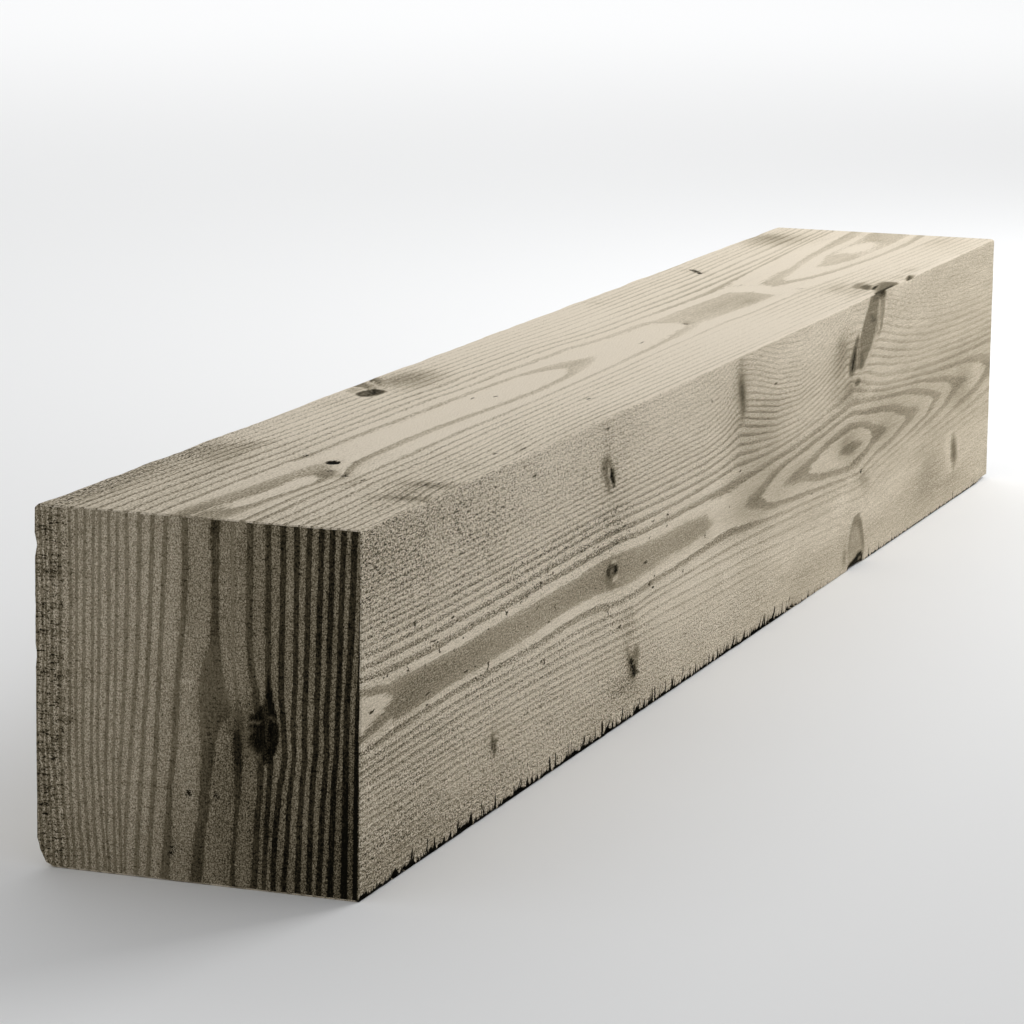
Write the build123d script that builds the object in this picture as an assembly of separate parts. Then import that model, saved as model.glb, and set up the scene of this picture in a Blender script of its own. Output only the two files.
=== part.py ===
from build123d import *
import os

# One length of rough-sawn, pressure-treated softwood timber, lying on its
# underside. It is a single piece of wood, so it is a single solid.
#
# Frame, millimetres: X along the length (the grain), Y across the width,
# +Z up. The origin is the middle of the underside. The "near" end is at -X,
# the "right" side face is at -Y and the "left" side face is at +Y.

# ---- driving dimensions ------------------------------------------------
LENGTH = 1040.0          # along X
WIDTH = 142.0            # across Y, a little under the height: the stick is out of square
HEIGHT = 150.0           # up Z

# Long edges as the saw and handling left them (radii).
EDGE_TOP_LEFT = 2.5      # the most rubbed of the four
EDGE_BOTTOM_LEFT = 2.0
EDGE_TOP_RIGHT = 1.0
EDGE_BOTTOM_RIGHT = 1.0
EDGE_ENDS = 0.6          # small bevel round both cut ends

# Worn bottom-left corner of the near end: one slanting facet.
WORN_ACROSS = 4.5        # how far it reaches in across the width
WORN_UP = 10.0           # how far it reaches up the left face
WORN_ALONG = 170.0       # how far it runs along the stick before it fades out

# Chips out of the near end's left upright edge:
# (height of the chip's middle, its height, its depth in from the left face)
LEFT_CHIPS = [
    (132.3, 3.0, 1.8),
    (87.0, 3.6, 1.2),
    (59.8, 2.0, 1.0),
]
LEFT_CHIP_ALONG = 5.0    # how far each chip runs back along the stick

# Notch torn out of the bottom-right edge, where the grain runs out at a knot.
NOTCH_FROM = 717.0       # from the near end
NOTCH_TO = 746.0
NOTCH_UP = 5.0
NOTCH_IN = 3.5

# Small chip out of the top-right edge.
TOP_CHIP_FROM = 829.0    # from the near end
TOP_CHIP_TO = 849.0
TOP_CHIP_DOWN = 2.6
TOP_CHIP_IN = 3.0

# Splinter missing from the far end's bottom-right corner.
FAR_CHIP_ALONG = 24.0
FAR_CHIP_UP = 2.2
FAR_CHIP_IN = 12.0


def at(along, across_from_right, up):
    """A point from its distances: from the near end, from the right side face, from the underside."""
    return Vector(along - LENGTH / 2, across_from_right - WIDTH / 2, up)


def facet(a, b, c, inside):
    """A large block whose flat face passes through three points and that lies on the far side of `inside`."""
    normal = (b - a).cross(c - a).normalized()
    if (inside - a).dot(normal) > 0:
        normal = -normal
    plane = Plane(origin=a, z_dir=normal)
    return plane * Box(600, 600, 60, align=(Align.CENTER, Align.CENTER, Align.MIN))


def spindle(p_from, p_to, size_a, size_b):
    """A wedge-ended prism along a long edge: full size in the middle third and tapering to nothing at both ends."""
    x0, x1 = p_from.X, p_to.X
    third = (x1 - x0) / 3
    y, z = p_from.Y, p_from.Z
    profile = [
        (x0, 0.0), (x0 + third, 1.0), (x1 - third, 1.0), (x1, 0.0),
    ]
    # a triangular section whose legs lie along the two faces that meet at the edge
    sections = []
    for x, k in profile:
        k = max(k, 0.02)
        sections.append(Plane(origin=(x, y, z), x_dir=(0, 1, 0), z_dir=(1, 0, 0)) * make_face(
            Polyline((-size_a * 0.2, -size_b * 0.2), (size_a * k, -size_b * 0.2), (size_a * k, 0),
                     (0, size_b * k), (-size_a * 0.2, size_b * k), close=True)))
    return loft(sections, ruled=True)


# ---- the stick ----------------------------------------------------------
timber = Box(LENGTH, WIDTH, HEIGHT, align=(Align.CENTER, Align.CENTER, Align.MIN))


def long_edge(solid, y_sign, top):
    found = [e for e in solid.edges().filter_by(Axis.X)
             if e.center().Y * y_sign > WIDTH / 2 - 0.01
             and abs(e.center().Z - (HEIGHT if top else 0)) < 0.01]
    return found[0]


timber = fillet(long_edge(timber, +1, True), EDGE_TOP_LEFT)
timber = fillet(long_edge(timber, +1, False), EDGE_BOTTOM_LEFT)
timber = fillet(long_edge(timber, -1, True), EDGE_TOP_RIGHT)
timber = fillet(long_edge(timber, -1, False), EDGE_BOTTOM_RIGHT)
for end in (timber.faces().sort_by(Axis.X)[0], timber.faces().sort_by(Axis.X)[-1]):
    timber = chamfer(end.edges(), EDGE_ENDS)

middle = Vector(0, 0, HEIGHT / 2)

# worn near bottom-left corner
timber -= facet(at(0, WIDTH - WORN_ACROSS, 0), at(0, WIDTH, WORN_UP), at(WORN_ALONG, WIDTH, 0), middle)

# chips in the near end's left upright edge
for up, tall, deep in LEFT_CHIPS:
    bite = Pos(*at(0, WIDTH, up)) * extrude(
        make_face(Polyline((-0.5, 0.5), (LEFT_CHIP_ALONG, 0.5), (LEFT_CHIP_ALONG, 0), (0, -deep), (-0.5, -deep), close=True)),
        tall / 2, both=True)
    timber -= bite

# notch in the bottom-right edge
timber -= spindle(at(NOTCH_FROM, 0, 0), at(NOTCH_TO, 0, 0), NOTCH_IN, NOTCH_UP)

# chip in the top-right edge, the same wedge turned over
top_chip = spindle(at(TOP_CHIP_FROM, 0, 0), at(TOP_CHIP_TO, 0, 0), TOP_CHIP_IN, TOP_CHIP_DOWN)
timber -= Pos(0, 0, HEIGHT) * mirror(top_chip, about=Plane.XY)

# missing splinter at the far bottom-right corner
timber -= facet(at(LENGTH - FAR_CHIP_ALONG, 0, 0), at(LENGTH, 0, FAR_CHIP_UP), at(LENGTH, FAR_CHIP_IN, 0), middle)

timber = timber.solids()[0] if isinstance(timber, (Compound, ShapeList)) or len(timber.solids()) != 1 else timber.solids()[0]
timber.label = "sawn_timber"

os.makedirs("parts", exist_ok=True)
export_step(timber, "parts/sawn_timber.step")

box = timber.bounding_box()
print("sawn_timber: volume %.1f cm3, box %.2f x %.2f x %.2f mm, from z %.2f, valid %s"
      % (timber.volume / 1000, box.size.X, box.size.Y, box.size.Z, box.min.Z, timber.is_valid))
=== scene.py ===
import bpy
import math
import numpy as np
from mathutils import Matrix


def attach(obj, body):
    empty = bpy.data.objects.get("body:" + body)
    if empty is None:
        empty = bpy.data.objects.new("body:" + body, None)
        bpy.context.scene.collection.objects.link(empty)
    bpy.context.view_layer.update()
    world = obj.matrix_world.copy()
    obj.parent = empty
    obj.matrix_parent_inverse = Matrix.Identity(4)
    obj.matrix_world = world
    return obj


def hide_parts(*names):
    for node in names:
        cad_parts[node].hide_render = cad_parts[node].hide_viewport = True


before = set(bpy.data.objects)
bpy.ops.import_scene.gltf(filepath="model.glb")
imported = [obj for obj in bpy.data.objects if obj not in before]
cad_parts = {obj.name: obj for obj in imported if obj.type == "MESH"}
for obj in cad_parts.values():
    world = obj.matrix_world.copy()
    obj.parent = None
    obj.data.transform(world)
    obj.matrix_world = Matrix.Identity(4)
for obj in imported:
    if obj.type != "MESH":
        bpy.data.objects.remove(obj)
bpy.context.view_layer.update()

# ---------------------------------------------------------------- sizes (mm)
# u runs along the grain from the near end, y from the right face to the left
# face, z up from the underside.
LENGTH, WIDTH, HEIGHT = 1040.0, 142.0, 150.0


# ---------------------------------------------------------------- small maths
def smooth(x, a, b):
    t = np.clip((np.asarray(x, float) - a) / (b - a), 0.0, 1.0)
    return t * t * (3 - 2 * t)


def vnoise(x, y, seed):
    """Smooth value noise, 0 to 1, on a hashed lattice."""
    x, y = np.broadcast_arrays(np.asarray(x, float), np.asarray(y, float))
    xi, yi = np.floor(x).astype(np.int64), np.floor(y).astype(np.int64)
    xf, yf = x - xi, y - yi
    xf, yf = xf * xf * (3 - 2 * xf), yf * yf * (3 - 2 * yf)

    def h(i, j):
        n = (i * 374761393 + j * 668265263 + seed * 1442695041) & 0x7FFFFFFF
        n = ((n ^ (n >> 13)) * 1274126177) & 0x7FFFFFFF
        n = ((n ^ (n >> 16)) * 974634777) & 0x7FFFFFFF
        return (n & 0xFFFFF) / float(0xFFFFF)

    a, b = h(xi, yi), h(xi + 1, yi)
    c, d = h(xi, yi + 1), h(xi + 1, yi + 1)
    return (a * (1 - xf) + b * xf) * (1 - yf) + (c * (1 - xf) + d * xf) * yf


def fbm(x, y, seed, octaves=3):
    out, amp, tot = 0.0, 1.0, 0.0
    for k in range(octaves):
        out = out + amp * vnoise(x * 2 ** k, y * 2 ** k, seed + 17 * k)
        tot += amp
        amp *= 0.5
    return out / tot


def blur(a, axis, n):
    """Repeated three-tap blur along one axis, with the ends held."""
    a = np.moveaxis(a, axis, 0)
    for _ in range(n):
        p = np.concatenate([a[:1], a, a[-1:]])
        a = 0.25 * p[:-2] + 0.5 * p[1:-1] + 0.25 * p[2:]
    return np.moveaxis(a, 0, axis)


def window(u, a, b, edge):
    return smooth(u, a - edge, a + edge) * (1 - smooth(u, b - edge, b + edge))


class Field:
    """A scalar on a regular grid of (u, v), sampled bilinearly."""

    def __init__(self, us, vs, data):
        self.us, self.vs, self.d = us, vs, data

    def __call__(self, u, v):
        du, dv = self.us[1] - self.us[0], self.vs[1] - self.vs[0]
        x = np.clip((u - self.us[0]) / du, 0, len(self.us) - 1.001)
        y = np.clip((v - self.vs[0]) / dv, 0, len(self.vs) - 1.001)
        i, j = x.astype(int), y.astype(int)
        fx, fy = x - i, y - j
        d = self.d
        return ((d[i, j] * (1 - fx) + d[i + 1, j] * fx) * (1 - fy)
                + (d[i, j + 1] * (1 - fx) + d[i + 1, j + 1] * fx) * fy)


def ring_field(tracks, us, vs, step_lo, step_hi, bu=2, bv=1):
    """Growth-ring phase from traced lines. Each track is (phase, [(u, v), ...]); the phase is a
    number or a list of (u, phase). Beyond the outermost lines the phase falls by one every step mm."""
    out = np.zeros((len(us), len(vs)))
    packed = []
    for phase, line in tracks:
        a = np.array(line, float)
        q = np.array(phase, float) if isinstance(phase, list) else None
        packed.append((phase, a, q))
    for k, u in enumerate(us):
        got = []
        for phase, a, q in packed:
            if a[0, 0] - 1e-6 <= u <= a[-1, 0] + 1e-6:
                got.append((float(np.interp(u, a[:, 0], a[:, 1])),
                            float(phase) if q is None else float(np.interp(u, q[:, 0], q[:, 1]))))
        got.sort()
        keep = [got[0]]
        for g in got[1:]:
            if g[0] - keep[-1][0] > 0.25:
                keep.append(g)
        v = np.array([g[0] for g in keep])
        p = np.array([g[1] for g in keep])
        row = np.interp(vs, v, p)
        lo, hi = vs < v[0], vs > v[-1]
        row[lo] = p[0] - (v[0] - vs[lo]) / step_lo
        row[hi] = p[-1] - (vs[hi] - v[-1]) / step_hi
        out[k] = row
    return Field(us, vs, blur(blur(out, 0, bu), 1, bv))


def smears(items, u, v):
    """Sum of soft ovals: (u, v, half-length, half-width, turn in degrees, amount)."""
    out = np.zeros(np.broadcast(u, v).shape)
    for cu, cv, a, b, deg, amt in items:
        c, s = math.cos(math.radians(deg)), math.sin(math.radians(deg))
        x, y = (u - cu) * c + (v - cv) * s, -(u - cu) * s + (v - cv) * c
        out += amt * np.exp(-((x / a) ** 2 + (y / b) ** 2))
    return out


def outline_distance(outline, u, v):
    """Distance to a closed outline in mm, negative inside it."""
    pts = np.array(outline, float)
    d, odd = np.full(u.shape, 1e9), np.zeros(u.shape, bool)
    for (a, b), (c, e) in zip(pts, np.roll(pts, -1, 0)):
        du, dv = c - a, e - b
        t = np.clip(((u - a) * du + (v - b) * dv) / (du * du + dv * dv + 1e-9), 0, 1)
        d = np.minimum(d, np.hypot(u - a - t * du, v - b - t * dv))
        if e != b:
            odd ^= ((b > v) != (e > v)) & (u < du * (v - b) / dv + a)
    return np.where(odd, -d, d)


def blots(items, u, v, tone, amp, fuzz):
    """Patches where the rings stop: knot wood, and painted shade in a broken-out hollow: (outline, edge softness in mm,
    darkness).
    """
    for outline, soft, level in items:
        m = 1 - smooth(outline_distance(outline, u, v), -soft, soft)
        tone = tone * (1 - m) + (level - .075) * m
        amp = amp * (1 - .9 * m)
        fuzz = fuzz * (1 - .5 * m)
    return tone, amp, fuzz


def bars(items, u, v):
    """Soft-edged bars along a line: (u0, v0, u1, v1, half-width, amount)."""
    out = np.zeros(np.broadcast(u, v).shape)
    for u0, v0, u1, v1, w, amt in items:
        du, dv = u1 - u0, v1 - v0
        t = np.clip(((u - u0) * du + (v - v0) * dv) / (du * du + dv * dv + 1e-9), 0, 1)
        d = np.hypot(u - u0 - t * du, v - v0 - t * dv)
        out = np.maximum(out, amt * (1 - smooth(d, 0.3 * w, 1.5 * w))) if amt > 0 else out + amt * (1 - smooth(d, 0.3 * w, 1.5 * w))
    return out


def knots(items, u, v, reach=8.0):
    """Depth inside the darkest knot wood, in mm: capsules (u0, v0, u1, v1, radius0, radius1)."""
    out = np.full(np.broadcast(u, v).shape, -reach)
    for u0, v0, u1, v1, r0, r1 in items:
        du, dv = u1 - u0, v1 - v0
        t = np.clip(((u - u0) * du + (v - v0) * dv) / (du * du + dv * dv + 1e-9), 0, 1)
        d = np.hypot(u - u0 - t * du, v - v0 - t * dv)
        out = np.maximum(out, r0 + (r1 - r0) * t - d)
    return np.maximum(out, -reach)


# ---------------------------------------------------------------- right face: traced rings
SIDE = [
    ([(0, .8), (20, .65), (35, .5), (45, .46), (100, .44), (200, .42), (300, .42), (440, .34), (460, .2), (470, 0),
      (490, -.2), (508, -.1), (514, .1), (540, .48), (543, .55), (560, .75), (575, .95), (582, 1.1), (620, 1.4),
      (630, 1.5), (640, 1.6), (680, 1.9), (695, 2.1), (720, 2.3), (740, 2.1), (748, 1.9), (763, 1.5), (770, 1.4),
      (800, 1), (815, .75), (835, .52), (840, .45), (870, 0), (880, -.2), (899, -.48), (902, -.55), (920, -1),
      (930, -1.2), (945, -1.5), (950, -1.6), (985, -2), (1010, -2.3), (1040, -2.6)],
     [(0, 75.5), (300, 75), (420, 73), (520, 71), (600, 70.5), (690, 69.5), (720, 69), (760, 68.5), (837, 68),
      (900, 70), (945, 71), (1040, 71)]),
    (.1, [(36, 83), (60, 81.5), (100, 81), (200, 81.5), (250, 82.5), (300, 83.5), (330, 82), (370, 80.5), (420, 80),
          (455, 78)]),
    (.1, [(36, 66), (60, 66.5), (100, 67.5), (160, 68), (200, 69), (240, 71), (290, 70), (330, 66.5), (370, 66.5),
          (420, 67.5), (455, 69)]),
    (.5, [(0, 84), (20, 81), (30, 78.5), (35, 76.2)]),
    (.5, [(0, 67), (20, 70), (30, 73), (35, 74.8)]),
    (1.5, [(630, 71.3), (665, 77), (700, 79.8), (715, 80.3), (740, 77.3), (760, 72.3), (763, 69)]),
    (1.5, [(630, 69.7), (650, 65), (680, 62.5), (712, 59.5), (735, 62.8), (750, 65), (763, 68)]),
    (.5, [(545, 71.4), (565, 77), (590, 80.5), (640, 83.5), (690, 86.5), (712, 88), (740, 85), (780, 80), (810, 76),
          (830, 71), (837, 68.6)]),
    (.5, [(545, 69.8), (560, 65), (600, 61.5), (650, 58.5), (700, 55), (735, 53), (770, 59), (800, 61.5), (830, 66),
          (837, 67.4)]),
    (-.5, [(0, 89), (20, 87.5), (40, 86.5), (80, 85.8), (120, 86), (160, 86.3), (200, 87), (250, 87.3), (300, 88),
           (320, 88), (340, 86.5), (370, 85.5), (420, 85), (460, 84.8), (500, 84), (600, 86), (640, 88), (690, 90.5),
           (715, 92.5), (740, 91), (780, 87.5), (820, 84), (850, 81), (880, 76), (900, 70.8)]),
    (-.5, [(0, 61), (20, 61.7), (40, 62.8), (60, 63.7), (80, 64.2), (110, 64.5), (140, 64), (180, 63.7), (210, 63.8),
           (240, 65), (270, 65), (290, 64), (305, 62.3), (320, 60.8), (333, 60.3), (350, 61), (380, 61.8), (420, 62),
           (450, 62.5), (490, 63.5), (520, 61), (560, 58), (600, 56), (650, 53.5), (700, 51), (735, 50), (760, 52.5),
           (800, 55.5), (850, 59.5), (885, 64), (900, 69.2)]),
    (-1.5, [(0, 93.5), (40, 92.5), (100, 92), (160, 92.3), (200, 92.7), (250, 93), (300, 93.7), (340, 92),
            (380, 91.5), (440, 91.5), (500, 93.5), (560, 91), (600, 92), (650, 95), (700, 98), (718, 101), (740, 97),
            (780, 92), (820, 88.5), (870, 84.5), (900, 80), (930, 76), (945, 71.8)]),
    (-1.5, [(0, 56.5), (40, 57.5), (100, 59), (150, 58.5), (200, 58), (260, 58.3), (290, 57), (310, 55.7),
            (328, 54.3), (345, 54), (370, 55), (400, 54.8), (450, 54.5), (500, 54.5), (560, 53), (600, 51.5),
            (650, 49.5), (700, 47.5), (735, 45.5), (760, 48.5), (800, 52), (850, 55.5), (890, 60), (920, 63),
            (935, 66), (945, 70.2)]),
    (-2.5, [(0, 98.5), (20, 97.5), (60, 97), (120, 97), (200, 97.5), (260, 98.3), (300, 98.8), (350, 97.5),
            (400, 96.5), (450, 96), (470, 96.3), (490, 97.5), (505, 98.5), (525, 97), (560, 95), (613, 94.7),
            (650, 98), (690, 103), (712, 106.5), (735, 103.5), (750, 99.5), (780, 95), (820, 91.5), (870, 88),
            (930, 84), (980, 81.5), (1010, 78), (1030, 71.8)]),
    (-2.5, [(0, 53), (60, 55), (120, 55.8), (200, 54.8), (260, 54.5), (300, 53), (325, 51), (340, 50.8), (370, 52),
            (400, 51.5), (450, 50.8), (500, 49.7), (545, 47.5), (600, 45.3), (650, 43), (700, 41.3), (730, 39),
            (745, 38.3), (760, 40), (780, 44), (800, 47), (850, 51), (900, 53), (940, 57), (980, 61), (1010, 64),
            (1030, 70.2)]),
    (-3.5, [(0, 102), (60, 101), (200, 101), (300, 102), (370, 100.7), (450, 100), (480, 101.5), (505, 104),
            (530, 101), (570, 98), (613, 97.3), (650, 101), (690, 106.5), (712, 110), (745, 107), (780, 100),
            (820, 96), (870, 92), (930, 89), (980, 87.5), (1040, 87)]),
    (-3.5, [(0, 50), (50, 51.5), (120, 52), (200, 51.5), (250, 50.8), (300, 49), (318, 48), (345, 46.5), (360, 47.3),
            (380, 46.8), (420, 46), (450, 45.3), (500, 44), (540, 43), (590, 40.5), (630, 38.3), (665, 36.3),
            (700, 34.5), (725, 33), (745, 33.5), (765, 37), (800, 43), (850, 46.5), (900, 49), (940, 51), (1000, 55),
            (1040, 58)]),
    (-4.5, [(0, 105.2), (60, 104.3), (300, 105), (370, 104.1), (450, 103.6), (480, 105.5), (505, 108.5), (530, 105),
            (570, 101), (613, 100.3), (650, 104), (690, 110), (706, 113), (750, 111), (800, 104), (860, 98),
            (930, 94), (1000, 91.5), (1040, 91)]),
    (-4.5, [(0, 47), (60, 48.3), (150, 48.3), (220, 47), (260, 46), (300, 44.3), (320, 43.5), (350, 42), (380, 42.5),
            (450, 39.5), (520, 38.2), (570, 35.8), (620, 34.3), (690, 30.8), (710, 27.7), (730, 28.5), (750, 31),
            (775, 35), (800, 39), (850, 43), (900, 45.5), (940, 46.5), (1040, 50)]),
    (-5.5, [(0, 108.6), (60, 107.9), (370, 107.9), (450, 107.2), (480, 109.5), (505, 113.5), (530, 109.5),
            (570, 104), (613, 103.3), (650, 107), (690, 113.5), (704, 117), (756, 115), (800, 108), (860, 101.5),
            (930, 97.5), (1000, 95), (1040, 94.5)]),
    (-5.5, [(0, 43.5), (100, 44.3), (200, 43.5), (300, 40.5), (330, 39), (400, 36), (430, 35), (500, 33.8),
            (560, 32.7), (620, 31.3), (690, 27), (720, 24), (750, 27), (800, 34), (850, 38.5), (940, 42),
            (1040, 45)]),
    (-6.5, [(0, 110.7), (60, 110), (370, 110.7), (450, 110.3), (480, 113), (505, 118), (530, 113.5), (570, 107.5),
            (613, 106.3), (650, 110), (690, 117), (703, 121), (762, 118.5), (800, 112), (850, 105.5), (930, 101),
            (1000, 99), (1040, 98.5)]),
    (-6.5, [(0, 40.3), (100, 41.2), (200, 40), (300, 37), (400, 32.5), (430, 31.7), (500, 29.5), (600, 28.2),
            (640, 26.7), (700, 23.5), (725, 20), (750, 22), (800, 29), (850, 34), (940, 37.5), (1040, 40)]),
    (-7.5, [(0, 113.5), (60, 113), (370, 113.5), (450, 113.3), (480, 116), (503, 121), (530, 117), (570, 111),
            (613, 109.3), (650, 113), (690, 120.5), (702, 125), (770, 122), (820, 114), (880, 107.5), (960, 103.5),
            (1040, 102)]),
    (-7.5, [(0, 37.8), (100, 38.6), (200, 37.3), (300, 34), (400, 29.3), (430, 28.3), (520, 26.5), (620, 24.5),
            (690, 20)]),
    (-8.5, [(0, 115.7), (60, 115.2), (370, 115.7), (450, 115.6), (480, 118.5), (500, 124), (530, 120), (570, 114),
            (613, 111.7), (650, 115.5), (690, 123.5), (702, 129), (776, 126), (820, 118), (880, 111), (960, 107),
            (1040, 105.5)]),
    (-8.5, [(0, 35.2), (100, 36), (200, 34.6), (300, 31), (400, 27), (520, 24), (620, 21.5)]),
    (-9.5, [(0, 117.8), (60, 117.3), (370, 118), (450, 118), (480, 121), (498, 127), (530, 123), (570, 117),
            (613, 114), (650, 118), (690, 126.5), (704, 133), (782, 130), (820, 122), (880, 115), (960, 110.5),
            (1040, 109)]),
    (-9.5, [(0, 32), (100, 32.7), (200, 31.3), (300, 28.5), (400, 25.3), (520, 21.5), (620, 18.5)]),
    (-10.5, [(0, 120.2), (60, 119.7), (370, 120.7), (450, 120.8), (480, 124), (498, 131), (530, 127), (570, 120),
             (613, 116.7), (650, 120.5), (690, 130), (708, 138), (790, 133), (830, 126), (880, 119.5), (960, 115),
             (1040, 113)]),
    (-10.5, [(0, 28.2), (100, 29), (200, 27.8), (300, 25.5), (400, 22.5)]),
    (-11.5, [(0, 123.8), (60, 123.3), (370, 123.3), (450, 123.5), (480, 127), (498, 135), (530, 131), (570, 123),
             (613, 119), (650, 123), (690, 133), (714, 143), (796, 137), (840, 129), (900, 122.5), (960, 119),
             (1040, 117)]),
]

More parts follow.
